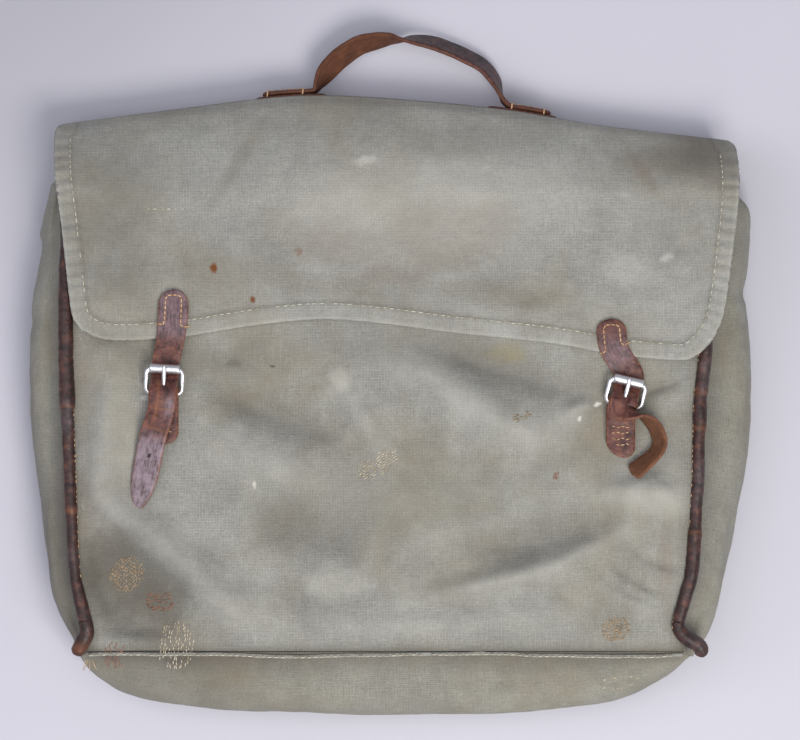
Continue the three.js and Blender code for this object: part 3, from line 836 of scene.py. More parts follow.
    def lay_stain(self, tree: bpy.types.NodeTree, cloth: bpy.types.NodeSocket, colour: bpy.types.NodeSocket,
                  stain: Stain) -> bpy.types.NodeSocket:
        """Lay one ragged stain over the cloth's colour.

        Args:
            tree: The material's node tree.
            cloth: Flat places in metres.
            colour: The colour so far.
            stain: Where and what it is.

        Returns:
            The stained colour's socket.
        """
        x, y = (c * MM for c in stain.centre)
        a, b = (r * MM for r in stain.reach)
        place = add_node(tree, "ShaderNodeMapping", {"vector_type": "TEXTURE", "Location": (x, y, 0),
                                                     "Rotation": (0, 0, math.radians(stain.turn)),
                                                     "Scale": (a, b, 1)}, Vector=cloth).outputs[0]
        away = add_node(tree, "ShaderNodeVectorMath", {"operation": "LENGTH", 0: place}).outputs["Value"]
        rough = add_node(tree, "ShaderNodeTexNoise", {"Scale": 0.9 / max(a, b), "Detail": 5.0,
                                                      "Roughness": 0.75}, Vector=cloth).outputs["Fac"]
        stray = add_node(tree, "ShaderNodeMath", {"operation": "SUBTRACT", 0: rough, 1: 0.5}).outputs[0]
        stray = add_node(tree, "ShaderNodeMath", {"operation": "MULTIPLY", 0: stray, 1: 3.2 * stain.ragged})
        away = add_node(tree, "ShaderNodeMath", {"operation": "ADD", 0: away, 1: stray.outputs[0]}).outputs[0]
        amount = add_node(tree, "ShaderNodeMapRange", {"interpolation_type": "SMOOTHSTEP", 0: away, 1: 0.35,
                                                       2: 1.1, 3: min(1.0, 1.2 * stain.strength),
                                                       4: 0.0}).outputs[0]
        return add_node(tree, "ShaderNodeMix", {**LAY, 0: amount, 6: colour,
                                                7: linear(stain.colour)}).outputs[2]


@dataclass(frozen=True)
class TannedLeather(Finish):
    """Vegetable-tanned cowhide, waxed long ago: red-brown, creased, rubbed orange along its edges.

    Its grain side takes a low shine on the high spots, and its flesh side is dull and fibrous.
    """

    dark: str = "371d19"
    middle: str = "653a33"
    worn: str = "9c6850"
    bloom: str = "90818a"
    flesh: str = "6b4630"
    grain_mm: float = 1.3  # pores are under 0.5 mm; drawn as the small plates between creases
    crease_mm: float = 3.0
    roughness: float = 0.5
    wear: float = 1.0

    def dress(self, tree: bpy.types.NodeTree, shader: bpy.types.Node) -> None:
        """Build the grain, cross creases, worn edges, purple bloom with painted sheen, painted shade in the
        punched holes and the flesh side.
        """
        mark = {name: add_node(tree, "ShaderNodeAttribute", {"attribute_name": name}).outputs["Fac"]
                for name in ("bloom", "edge", "scored", "inside", "punched")}
        cloth = add_node(tree, "ShaderNodeUVMap", {"uv_map": "cloth"}).outputs["UV"]
        mottle = add_node(tree, "ShaderNodeTexNoise", {"Scale": 130.0, "Detail": 6.0, "Roughness": 0.68},
                          Vector=cloth).outputs["Fac"]
        colour = add_node(tree, "ShaderNodeValToRGB", {0: mottle, "ramp": (
            (0.34, linear(self.dark)), (0.52, linear(self.middle)), (0.74, linear(self.worn, 0.7)),
        )}).outputs[0]
        stretched = add_node(tree, "ShaderNodeMapping", {"Scale": (0.30, 1.0, 1)}, Vector=cloth).outputs[0]
        crease = add_node(tree, "ShaderNodeTexNoise", {"Scale": 1000 / self.crease_mm, "Detail": 4.0,
                                                       "Roughness": 0.7, "Distortion": 0.6},
                          Vector=stretched).outputs["Fac"]
        cracks = add_node(tree, "ShaderNodeValToRGB", {0: crease, "ramp": (
            (0.40, grey(0.45)), (0.50, grey(1.0)))}).outputs[0]
        cracked = add_node(tree, "ShaderNodeMix", {**TINT, 6: colour, 7: cracks}).outputs[2]
        colour = add_node(tree, "ShaderNodeMix", {**LAY, 0: 0.75, 6: colour, 7: cracked}).outputs[2]
        lengthwise = add_node(tree, "ShaderNodeMapping", {"Scale": (1.0, 0.10, 1)}, Vector=cloth).outputs[0]
        fibre = add_node(tree, "ShaderNodeTexNoise", {"Scale": 900.0, "Detail": 3.0, "Roughness": 0.7},
                         Vector=lengthwise).outputs["Fac"]
        streaks = add_node(tree, "ShaderNodeMix", {**LAY, 0: 0.5, 6: fibre, 7: mottle}).outputs[2]
        # The purple-grey tone is partly the bloom of old wax and partly painted sheen, brightest at its top
        # stop.
        bloom_and_sheen_tone = add_node(tree, "ShaderNodeValToRGB", {0: streaks, "ramp": (
            (0.36, linear(self.dark)), (0.54, linear(self.bloom)), (0.72, linear(self.bloom, 1.5)),
        )}).outputs[0]
        colour = add_node(tree, "ShaderNodeMix", {**LAY, 0: mark["bloom"], 6: colour, 7: bloom_and_sheen_tone}).outputs[2]
        scuff = add_node(tree, "ShaderNodeTexNoise", {"Scale": 330.0, "Detail": 5.0, "Roughness": 0.75},
                         Vector=cloth).outputs["Fac"]
        rubbed = add_node(tree, "ShaderNodeMath", {"operation": "MULTIPLY", 0: mark["edge"],
                                                   1: 0.36}).outputs[0]
        rubbed = add_node(tree, "ShaderNodeMath", {"operation": "ADD", 0: rubbed, 1: scuff}).outputs[0]
        amount = add_node(tree, "ShaderNodeMapRange", {0: rubbed, 1: 0.70, 2: 1.0, 3: 0.0,
                                                       4: 0.85 * self.wear}).outputs[0]
        colour = add_node(tree, "ShaderNodeMix", {**LAY, 0: amount, 6: colour,
                                                  7: linear(self.worn)}).outputs[2]
        suede = add_node(tree, "ShaderNodeValToRGB", {0: streaks, "ramp": (
            (0.35, linear(self.flesh, 0.55)), (0.5, linear(self.flesh)), (0.68, linear(self.flesh, 1.7)),
        )}).outputs[0]
        # Punched holes are painted near black: painted shade inside each hole.
        for name, above in (("scored", linear("9a5f38")), ("inside", suede), ("punched", linear("0d0806"))):
            colour = add_node(tree, "ShaderNodeMix", {**LAY, 0: mark[name], 6: colour, 7: above}).outputs[2]
        tree.links.new(colour, shader.inputs["Base Color"])
        dull = add_node(tree, "ShaderNodeMapRange", {0: scuff, 1: 0.35, 2: 0.7, 3: self.roughness - 0.12,
                                                     4: self.roughness + 0.14}).outputs[0]
        dull = add_node(tree, "ShaderNodeMix", {**LAY, 0: mark["inside"], 6: dull, 7: grey(0.88)}).outputs[2]
        tree.links.new(dull, shader.inputs["Roughness"])
        shader.inputs["Specular IOR Level"].default_value = 0.42
        plates = add_node(tree, "ShaderNodeTexVoronoi", {"Scale": 1000 / self.grain_mm, "Randomness": 1.0},
                          Vector=cloth).outputs["Distance"]
        low = add_node(tree, "ShaderNodeBump", {"Strength": 0.5, "Distance": 0.0007}, Height=crease)
        high = add_node(tree, "ShaderNodeBump", {"Strength": 0.30, "Distance": 0.0003}, Height=plates,
                        Normal=low.outputs[0])
        dent = add_node(tree, "ShaderNodeBump", {"Strength": 1.0, "Distance": 0.0012, "invert": True},
                        Height=mark["punched"], Normal=high.outputs[0])
        tree.links.new(dent.outputs[0], shader.inputs["Normal"])


@dataclass(frozen=True)
class NickelPlate(Finish):
    """Nickel plate on drawn wire: a soft bright shine, slightly milky, with fine dull spots."""

    colour: str = "e9e9ec"
    tarnish: str = "8d8577"
    spot_mm: float = 1.6

    def dress(self, tree: bpy.types.NodeTree, shader: bpy.types.Node) -> None:
        """Make the plate, its dull spots and its rubbing marks."""
        place = add_node(tree, "ShaderNodeTexCoord").outputs["Object"]
        spots = add_node(tree, "ShaderNodeTexNoise", {"Scale": 1000 / self.spot_mm, "Detail": 5.0,
                                                      "Roughness": 0.7}, Vector=place).outputs["Fac"]
        amount = add_node(tree, "ShaderNodeMapRange", {0: spots, 1: 0.56, 2: 0.74, 3: 0.0,
                                                       4: 0.65}).outputs[0]
        colour = add_node(tree, "ShaderNodeMix", {**LAY, 0: amount, 6: linear(self.colour),
                                                  7: linear(self.tarnish)}).outputs[2]
        tree.links.new(colour, shader.inputs["Base Color"])
        dull = add_node(tree, "ShaderNodeMapRange", {0: spots, 1: 0.35, 2: 0.7, 3: 0.24, 4: 0.5}).outputs[0]
        tree.links.new(dull, shader.inputs["Roughness"])
        shader.inputs["Metallic"].default_value = 1.0
        marks = add_node(tree, "ShaderNodeBump", {"Strength": 0.15, "Distance": 0.0002}, Height=spots)
        tree.links.new(marks.outputs[0], shader.inputs["Normal"])


@dataclass(frozen=True)
class TwistedThread(Finish):
    """Waxed linen or cotton thread: dull, with a fine twist and soiled lengths."""

    colour: str = "cfc9b6"
    soiled: str = "99907a"
    twist_mm: float = 1.1

    def dress(self, tree: bpy.types.NodeTree, shader: bpy.types.Node) -> None:
        """Make the thread's twist and its uneven colour."""
        place = add_node(tree, "ShaderNodeTexCoord").outputs["Object"]
        dirt = add_node(tree, "ShaderNodeTexNoise", {"Scale": 260.0, "Detail": 3.0},
                        Vector=place).outputs["Fac"]
        amount = add_node(tree, "ShaderNodeMapRange", {0: dirt, 1: 0.42, 2: 0.66, 3: 0.0, 4: 0.9}).outputs[0]
        colour = add_node(tree, "ShaderNodeMix", {**LAY, 0: amount, 6: linear(self.colour),
                                                  7: linear(self.soiled)}).outputs[2]
        tree.links.new(colour, shader.inputs["Base Color"])
        twist = add_node(tree, "ShaderNodeTexWave", {"Scale": 1000 / self.twist_mm / 6.3, "Distortion": 0.5,
                                                     "bands_direction": "DIAGONAL"}, Vector=place)
        bump = add_node(tree, "ShaderNodeBump", {"Strength": 0.5, "Distance": 0.0002},
                        Height=twist.outputs["Fac"])
        tree.links.new(bump.outputs[0], shader.inputs["Normal"])
        shader.inputs["Roughness"].default_value = 0.8


@dataclass(frozen=True)
class PaleBoard(Finish):
    """Painted board under the sack: pale, cool and matt."""

    colour: str = "c9c8d1"

    def dress(self, tree: bpy.types.NodeTree, shader: bpy.types.Node) -> None:
        """Paint the board, slightly clouded, with painted shade darkening it towards one corner."""
        place = add_node(tree, "ShaderNodeTexCoord").outputs["Object"]
        cloud = add_node(tree, "ShaderNodeTexNoise", {"Scale": 3.0, "Detail": 3.0},
                         Vector=place).outputs["Fac"]
        tone = add_node(tree, "ShaderNodeValToRGB", {0: cloud, "ramp": (
            (0.3, linear(self.colour, 0.97)), (0.7, linear(self.colour, 1.03)))}).outputs[0]
        split = add_node(tree, "ShaderNodeSeparateXYZ", {0: place})
        # Painted shade: the board darkens towards its far left corner.
        far_left = add_node(tree, "ShaderNodeMath", {"operation": "SUBTRACT", 0: split.outputs[1],
                                                     1: split.outputs[0]}).outputs[0]
        painted_corner_shade = add_node(tree, "ShaderNodeMapRange", {"interpolation_type": "SMOOTHSTEP", 0: far_left,
                                                       1: 0.18, 2: 0.52, 3: 1.0, 4: 0.74}).outputs[0]
        painted = add_node(tree, "ShaderNodeMix", {**TINT, 6: tone, 7: painted_corner_shade}).outputs[2]
        tree.links.new(painted, shader.inputs["Base Color"])
        shader.inputs["Roughness"].default_value = 0.9


RUST, TEA, BLEACH, OCHRE = "7a4a28", "85776a", "c6c3b8", "a29870"

FRONT_CANVAS = WovenCanvas("front_cotton_canvas", stains=(
    Stain((75, 31), (16, 8), OCHRE, 0.38), Stain((78, 28), (5, 3), OCHRE, 0.3),
    Stain((130, -1), (2.6, 1.7), "d8d6ce", 0.8, 20, 1.0),
    Stain((119, -9.5), (2.2, 1.6), "d8d6ce", 0.7, 60, 1.0),
    Stain((-146, 3), (3, 2), "d8d6ce", 0.4), Stain((-79, -50), (1.6, 3.0), "d0cbc0", 0.7),
    # The two grey bands just below the flap's lower edge are painted shadow of the flap.
    Stain((24, 34), (80, 16), "77746a", 0.22), Stain((-120, 26), (60, 10), "6f6b60", 0.30),
    Stain((-170, -60), (26, 60), TEA, 0.16), Stain((20, -60), (110, 40), "8a887c", 0.20),
    Stain((-26, 14), (7, 12), BLEACH, 0.25, 20), Stain((-180, 10), (10, 60), TEA, 0.10),
    # This pale patch is a painted highlight on the ridge beside the left welt.
    Stain((-160, -14), (14, 34), "b0a894", 0.3),
    # The large dark grey patch at the lower left is dirt and painted shade.
    Stain((-150, -108), (50, 40), "5b574e", 0.50), Stain((-28, -110), (26, 12), BLEACH, 0.18),
    Stain((168, -60), (26, 12), BLEACH, 0.22), Stain((172, -95), (6, 40), TEA, 0.28),
    Stain((-92, 24), (6, 3), "575348", 0.3), Stain((-68, 22), (2, 1.2), "4c3626", 0.5),
))
FLAP_CANVAS = WovenCanvas("flap_cotton_canvas", ground="999891", pale="bbbab2", dark="73716a", stains=(
    Stain((-12, 148), (7, 4), "d6d3c6", 0.40, 0, 0.9), Stain((-34, 96), (34, 16), TEA, 0.30),
    Stain((40, 105), (52, 24), TEA, 0.30, 15), Stain((-104, 82), (3.0, 4.0), RUST, 0.85),
    Stain((-80, 62.5), (2.2, 2.6), RUST, 0.8), Stain((-52, 92), (3, 3), RUST, 0.35),
    # The stain at (180, 150) is painted shade in the upper right corner, where the flap rolls over.
    Stain((180, 150), (40, 16), "6b6355", 0.22), Stain((150, 80), (20, 12), BLEACH, 0.22),
    # The stain at (-150, 120) is painted shade on the flap's left side.
    Stain((-150, 120), (30, 30), "7b7566", 0.20), Stain((66, 66), (44, 9), "6f6656", 0.24, -10),
    Stain((172, 88), (6, 3), "cbc8bd", 0.5, 20), Stain((-88, 150), (40, 6), "716a5c", 0.22, 60),
    Stain((-44, 72), (60, 10), "7c7263", 0.20, -14), Stain((160, 140), (5, 22), TEA, 0.3, 30),
    # The broad pale stain at (30, 120) is painted light on the flap's middle.
    Stain((4, 78), (26, 8), TEA, 0.28), Stain((30, 120), (110, 44), BLEACH, 0.26),
    # The stain at (-165, 116) is painted shade on the flap's left side, and the one at (190, 150) painted
    # shade in the upper right corner.
    Stain((-165, 116), (44, 60), "6f6d64", 0.26), Stain((190, 150), (30, 14), "5f594e", 0.18),
    Stain((60, 160), (60, 14), "77746a", 0.22),
))
WALL_CANVAS = WovenCanvas("gusset_cotton_canvas", ground="8b897f", pale="adaba0", dark="636157")
STRAP_LEATHER = TannedLeather("strap_leather_waxed")
WELT_LEATHER = TannedLeather("welt_leather_rubbed", dark="1f1715", middle="3f2724", worn="87553f",
                             bloom="5d5154", crease_mm=4.5, wear=0.8)
HANDLE_LEATHER = TannedLeather("handle_leather_oiled", dark="20120f", middle="422520", worn="774735",
                               bloom="5b474b", flesh="5d3826", roughness=0.46)
PATCH_LEATHER = TannedLeather("patch_leather_dark", dark="27140f", middle="4d2720", worn="7f4d35")
NICKEL = NickelPlate("nickel_plated_wire")
PALE_THREAD = TwistedThread("pale_linen_thread")
GOLD_THREAD = TwistedThread("waxed_gold_thread", colour="dab48a", soiled="a87f58")
CREAM_THREAD = TwistedThread("cream_darning_cotton", colour="d2c7ae", soiled="a3927a")
TAN_THREAD = TwistedThread("tan_darning_cotton", colour="ab9679", soiled="85745d")
RUST_THREAD = TwistedThread("rust_darning_cotton", colour="9d6e58", soiled="7b5a49")
FILLER_CORD = TwistedThread("cotton_filler_cord", colour="b5a88c", soiled="8f8368")


def dress(piece: bpy.types.Object, finish: Finish) -> bpy.types.Object:
    """Give a piece its finish in a single material slot."""
    piece.data.materials.clear()
    piece.data.materials.append(finish.material())
    return piece


class Side(Enum):
    """Which side of the sack a welt or strap is on."""

    LEFT = -1
    RIGHT = 1

    @property
    def word(self) -> str:
        """The side as it stands in piece names."""
        return self.name.lower()


@dataclass(frozen=True)
class Drape:
    """Heights of a finished sheet, so that stitches can be laid on it."""

    places: np.ndarray

    @classmethod
    def of(cls, middle: np.ndarray, thickness: float) -> Drape:
        """Take the heights from a sheet's grid and its thickness."""
        return cls(middle.reshape(-1, 3) + (0, 0, thickness / 2))

    def height(self, x: float, y: float) -> float:
        """Give the outer face's height at x and y."""
        away = np.hypot(self.places[:, 0] - x, self.places[:, 1] - y)
        near = np.argpartition(away, 4)[:4]
        weight = 1 / (away[near] + 0.05)
        return float(self.places[near, 2] @ weight / weight.sum())

    def lay(self, route: np.ndarray) -> np.ndarray:
        """Give a route of x and y its heights."""
        return np.array([(x, y, self.height(x, y)) for x, y in route])


# ---- Canvas body ------------------------------------------------------------------------------


@dataclass
class CanvasBody:
    """The canvas part that lies still: front, mouth hem, back, gussets, base and standing top fold."""

    form: SackForm
    cloth: float = 1.3
    hem: float = 12.0
    back_inset: float = 9.0
    drape: Drape | None = None

    def build(self) -> None:
        """Make every canvas piece of the body and sew and darn it."""
        front = self.front()
        walls = [self.wall(name, side) for name, side in (
            ("left_gusset", Side.LEFT), ("bottom", None), ("right_gusset", Side.RIGHT))]
        self.back()
        self.mouth_hem(front)
        self.top_fold()
        self.seams()
        self.repairs()
        LOG.info("canvas body: front, back, %d walls, hem, top fold, seams and repairs", len(walls))

    def front(self) -> bpy.types.Object:
        """Make the front with its folds; its upper edge is sewn into the mouth hem."""
        form = self.form
        y = np.linspace(form.base_y, form.mouth_y - self.hem + 0.4, 136)[:, None]
        share = np.linspace(0, 1, 192)[None, :]
        left, right = form.front_edge(-1, y), form.front_edge(1, y)
        x = left + (right - left) * share
        y = np.broadcast_to(y, x.shape)
        z = form.front(x, y) - self.cloth / 2
        to_side = np.minimum(x - left, right - x)
        to_base = y - form.base_y
        # Darker along the welts; painted shade in the crease at the base seam and in the folds' hollows. The
        # rubbed value is pale wear and a painted highlight on the folds' ridges.
        marks = {
            "grime": 0.34 * np.exp(-((to_side / 6) ** 2)) + 0.30 * np.exp(-((to_base / 3.0) ** 2))
            + 0.30 * np.clip(-form.relief(x, y) / 8, 0, 1),
            "rubbed": 0.55 * np.clip(form.relief(x, y) / 6, 0, 1),
        }
        middle = np.stack([x, y, z], axis=2)
        cloth = np.stack([x, y], axis=2)
        piece = solid_sheet("front_canvas", Surface(middle, self.cloth, cloth, marks=marks))
        self.drape = Drape.of(middle, self.cloth)
        dress(piece, FRONT_CANVAS)
        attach(piece, "sack")
        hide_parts("front_panel")
        return piece

    def edge_places(self, side: Side | None, count: int) -> tuple[np.ndarray, np.ndarray]:
        """Give a wall's seam at the front and its widest outline, from one end to the other.

        Args:
            side: Which gusset, or None for the base.
            count: How many places along it.

        Returns:
            The seam's places with their heights, and the outline's places.
        """
        form = self.form
        if side is None:
            outline = spline(form.base_side, count)
            x = np.linspace(form.seam_x(-1, form.base_y) - 1, form.seam_x(1, form.base_y) + 1, count)
            y = np.full(count, form.base_y - 0.6)
            z = form.front(np.clip(x, -176, 173), np.full(count, form.base_y)) - 1.2
        else:
            outline = spline(form.left_side if side is Side.LEFT else form.right_side, count)
            y = np.linspace(form.mouth_y, form.base_y, count)
            x = form.seam_x(side.value, y)
            z = form.level(y) - 1.6
        return np.stack([x, y, z], axis=1), outline

    def wall(self, name: str, side: Side | None) -> bpy.types.Object:
        """Make one bulging wall between the back and the front seam.

        Args:
            name: The piece's name before "_canvas".
            side: Which gusset, or None for the base.

        Returns:
            The new object.
        """
        count, rows = (180 if side else 200), 30
        seam, outline = self.edge_places(side, count)
        inward = seam[:, :2] - outline
        inward /= np.linalg.norm(inward, axis=1, keepdims=True)
        back = outline + inward * self.back_inset
        control = 2 * outline - (back + seam[:, :2]) / 2
        v = np.linspace(0, 1, rows)[None, :, None]
        flat = back[:, None] * (1 - v) ** 2 + 2 * control[:, None] * v * (1 - v) + seam[:, None, :2] * v**2
        z = 2.6 + (seam[:, None, 2] - 2.6) * v[..., 0]
        walked = np.concatenate([[0], np.cumsum(np.linalg.norm(np.diff(outline, axis=0), axis=1))])
        along = np.broadcast_to(walked[:, None], z.shape)
        up = np.broadcast_to(76 * v[..., 0], z.shape)
        belly = 4 * v[..., 0] * (1 - v[..., 0])
        long_folds = ripple(along * 0.3, up * 1.6, 30, 13.0 + count, 2)
        cross_folds = ripple(along, up * 0.5, 55, 40.0 + count, 2)
        crumple = ripple(along, up, 12, 3.3)
        push = belly * (2.4 * long_folds + 0.9 * cross_folds + 0.25 * crumple)
        if side is Side.RIGHT:
            push = push - belly * 1.0 * np.exp(-(((along - 62) / 6) ** 2))
        if side is Side.LEFT:
            push = push - belly * 1.2 * np.exp(-(((along - 86) / 6) ** 2))
        flat = flat - inward[:, None] * push[..., None]
        beside_welt = np.exp(-(((up - 65) / 7.5) ** 2))
        z = z + belly * 1.4 * ripple(along, up, 34, 60.0) - 6.0 * beside_welt
        middle = np.concatenate([flat, z[..., None]], axis=2)
        outward = np.concatenate([-inward, np.full((count, 1), 0.35)], axis=1)[:, None, :]
        if side is not None:
            throat = self.throat(side, middle[0])
            steps = len(throat)
            middle = np.concatenate([throat, middle])
            outward = np.concatenate([np.repeat(outward[:1], steps, axis=0), outward])
            along = np.concatenate([np.linspace(-42, -3, steps)[:, None] + 0 * up[:steps], along])
            up = np.concatenate([up[:steps], up])
        # Painted shade: darker over the left gusset's lower part and the base's left end, not on the right
        # gusset; the mark also paints shade in the valley beside the welt and at the wall's foot on the
        # board.
        soiled = {None: 0.26 * np.exp(-(((along - 60) / 60) ** 2)), Side.RIGHT: 0 * along,
                  Side.LEFT: 0.42 * smoothstep(along, 130, 220) * smoothstep(up, 20, 50)}[side]
        marks = {"grime": 0.50 * np.exp(-(((76 - up) / 8) ** 2)) + 0.2 * np.exp(-((up / 6) ** 2)) + soiled}
        piece = solid_sheet(f"{name}_canvas", Surface(middle, self.cloth, np.stack([along, up], axis=2),
                                                      outward=outward, marks=marks))
        dress(piece, WALL_CANVAS)
        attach(piece, "sack")
        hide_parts("bottom_panel" if side is None else name)
        return piece

    def throat(self, side: Side, edge: np.ndarray, steps: int = 14) -> np.ndarray:
        """Narrow a gusset from the mouth up to the end of the standing top fold, under the flap.

        Args:
            side: Which gusset.
            edge: The gusset's section at the mouth, from the back to the seam.
            steps: How many sections to make.

        Returns:
            The sections' places, from the top fold down to just above the mouth.
        """
        x = 4.5 + side.value * 199.5
        y = float(self.form.top_line(x)) - 2.6
        end = np.stack([np.full(len(edge), x), np.full(len(edge), y),
                        np.linspace(2.6, self.form.band_height - 2, len(edge))], axis=1)
        down = np.linspace(0, 1, steps, endpoint=False)[:, None, None]
        share = np.concatenate([down**3, down, down], axis=2)
        return end + (edge - end) * share

    def back(self) -> bpy.types.Object:
        """Make the back, which the sack lies on."""
        form = self.form
        rims = {}
        for side in (Side.LEFT, Side.RIGHT):
            seam, outline = self.edge_places(side, 120)
            base_seam, base = self.edge_places(None, 120)
            half = slice(0, 60) if side is Side.LEFT else slice(60, 120)
            places = []
            for s, o in ((seam, outline), (base_seam[half], base[half])):
                inward = s[:, :2] - o
                places.append(o + inward / np.linalg.norm(inward, axis=1, keepdims=True) * self.back_inset)
            both = np.vstack(places)
            rims[side] = both[np.argsort(both[:, 1])]
        low = -181.0
        v = np.linspace(0, 1, 120)[:, None]
        share = np.linspace(0, 1, 120)[None, :]
        level = low + (178 - low) * v
        left = np.interp(level, rims[Side.LEFT][:, 1], rims[Side.LEFT][:, 0])
        right = np.interp(level, rims[Side.RIGHT][:, 1], rims[Side.RIGHT][:, 0])
        x = left + (right - left) * share
        stretch = smoothstep(level, 120, 178)
        y = level + (form.top_line(x) - 2.2 - 178) * stretch
        z = 1.0 + 0.25 * ripple(x, y, 60, 9.0) + 0 * x
        marks = {"grime": 0.1 + 0.25 * np.exp(-(((y - low) / 10) ** 2))}
        piece = solid_sheet("back_canvas", Surface(np.stack([x, y, z], axis=2), self.cloth,
                                                   np.stack([x, y], axis=2), marks=marks))
        dress(piece, WALL_CANVAS)
        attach(piece, "sack")
        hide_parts("back_panel")
        return piece

    def mouth_hem(self, front: bpy.types.Object) -> bpy.types.Object:
        """Make the turned hem at the mouth, with its row of stitches."""
        form = self.form
        round_turn = np.linspace(0, 1, 13)[:, None]
        share = np.linspace(0, 1, 150)[None, :]
        y = form.mouth_y - self.hem + self.hem * round_turn
        left, right = form.front_edge(-1, y) + 2, form.front_edge(1, y) - 2
        x = left + (right - left) * share
        y = np.broadcast_to(y, x.shape)
        z = form.level(y) - 0.9 + 0.3 * ripple(x, y, 16, 2.0)
        thickness = 3.0 * (0.45 + 0.55 * np.sin(np.pi * np.clip(round_turn, 0.12, 0.88))) + 0 * x
        marks = {"rubbed": 0.8 * np.exp(-(((y - form.mouth_y) / 2.5) ** 2))}
        piece = solid_sheet("mouth_hem_canvas", Surface(np.stack([x, y, z], axis=2), thickness,
                                                        np.stack([x, y], axis=2), marks=marks))
        dress(piece, FRONT_CANVAS)
        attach(piece, "sack")
        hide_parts("mouth_hem")
        sewn = Threads("mouth_hem_stitching")
        row = np.linspace(-180, 182, 240)
        height = form.level(np.full(240, form.mouth_y - 9.5)) + 0.6
        sewn.row(np.stack([row, np.full(240, form.mouth_y - 9.5), height], axis=1), 3.0, 1.2)
        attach(dress(sewn.build(), PALE_THREAD), "sack")
        return piece

    def top_fold(self) -> bpy.types.Object:
        """Make the standing canvas fold at the top, which carries the handle."""
        form = self.form
        x = np.broadcast_to(np.linspace(-199, 208, 190)[:, None], (190, 16))
        up = np.broadcast_to(np.linspace(1.9, form.band_height - 0.3, 16)[None, :], (190, 16))
        y = form.top_line(x) - 1.3 + 0.5 * ripple(x, up, 30, 77.0)
        # Painted shade at the fold's foot on the board; a pale rubbed top edge.
        marks = {"grime": 0.25 * np.exp(-((up / 5) ** 2)), "rubbed": 0.6 * np.exp(-(((up - 25) / 3) ** 2))}
        middle, cloth = np.stack([x, y, up], axis=2), np.stack([x, up], axis=2)
        piece = solid_sheet("top_fold_canvas", Surface(middle, 1.8, cloth, outward=(0, 1, 0), marks=marks))
        dress(piece, FLAP_CANVAS)
        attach(piece, "sack")
        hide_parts("top_band")
        return piece

    def seams(self) -> None:
        """Sew the seam above the base and close it with a row of pale stitches."""
        form = self.form
        x = np.linspace(-180.5, 183, 280)
        low = form.base_y - 2.6 + 0.7 * np.sin(x / 31) + 0.6 * ripple(x, x * 0, 40, 5.0)
        edge = self.drape.lay(np.stack([np.clip(x, -178, 180), np.full(280, form.base_y)], axis=1))[:, 2]
        size = 1.2 + 0.25 * ripple(x, x * 0, 9, 6.0)
        lip = swept("base_seam_lip", np.stack([x, low, edge - 1.3], axis=1), size, 12, up=(0, 0, 1))
        set_marks(lip, {"rubbed": np.full(len(lip.data.vertices), 0.12)}, None)
        dress(lip, FRONT_CANVAS)
        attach(lip, "sack")
        sewn = Threads("base_seam_stitching", radius=0.38, seed=3)
        sewn.row(np.stack([x, low - 0.4, edge + 0.35], axis=1), 2.7, 1.3, rise=0.4, missing=0.08)
        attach(dress(sewn.build(), PALE_THREAD), "sack")

    def repairs(self) -> None:
        """Darn the worn places in the colours of thread that came to hand."""
        height = self.drape.height
        cream = Threads("cream_darn", radius=0.31, seed=11)
        cream.darn((-4.5, -38), (25, 12), 32, 1.35, 3.0, height, fill=0.8)
        cream.darn((-127.5, -149.5), (28, 20), 84, 1.7, 2.6, self.over_seam, fill=0.8)
        cream.darn((144, -172), (22, 8), 12, 1.8, 3.0, self.over_seam, fill=0.35)
        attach(dress(cream.build(), CREAM_THREAD), "sack")
        tan = Threads("tan_darn", radius=0.32, seed=5)
        tan.darn((-158, -106), (22, 18), 52, 1.5, 2.4, height, crossed=True, fill=0.75)
        tan.darn((141, -138.5), (16, 13), 6, 1.4, 2.6, height, crossed=True, fill=0.8)
        tan.darn((83, -8), (11, 5), 28, 1.3, 2.2, height, fill=0.65)
        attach(dress(tan.build(), TAN_THREAD), "sack")
        rust = Threads("rust_darn", radius=0.32, seed=9)
        rust.darn((-138, -122), (17, 12), 1, 1.35, 4.2, height, fill=0.8)
        rust.darn((-165, -155), (16, 12), 84, 1.4, 2.8, self.over_seam, fill=0.75)
        rust.darn((104.5, -45), (4, 3), 80, 1.2, 2.0, height, fill=0.9)
        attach(dress(rust.build(), RUST_THREAD), "sack")

    def over_seam(self, x: float, y: float) -> float:
        """Give the surface's height at a place that may lie below the base seam."""
        form = self.form
        if y >= form.base_y:
            return self.drape.height(x, y)
        outline = spline(form.base_side, 200)
        low = float(np.interp(x, outline[:, 0], outline[:, 1]))
        share = min(1.0, (form.base_y - y) / max(4.0, form.base_y - low))
        top = self.drape.height(x, form.base_y)
        return top - 1.0 - 29 * (1 - math.sqrt(max(0.0, 1 - share**1.7)))


# ---- Flap -------------------------------------------------------------------------------------


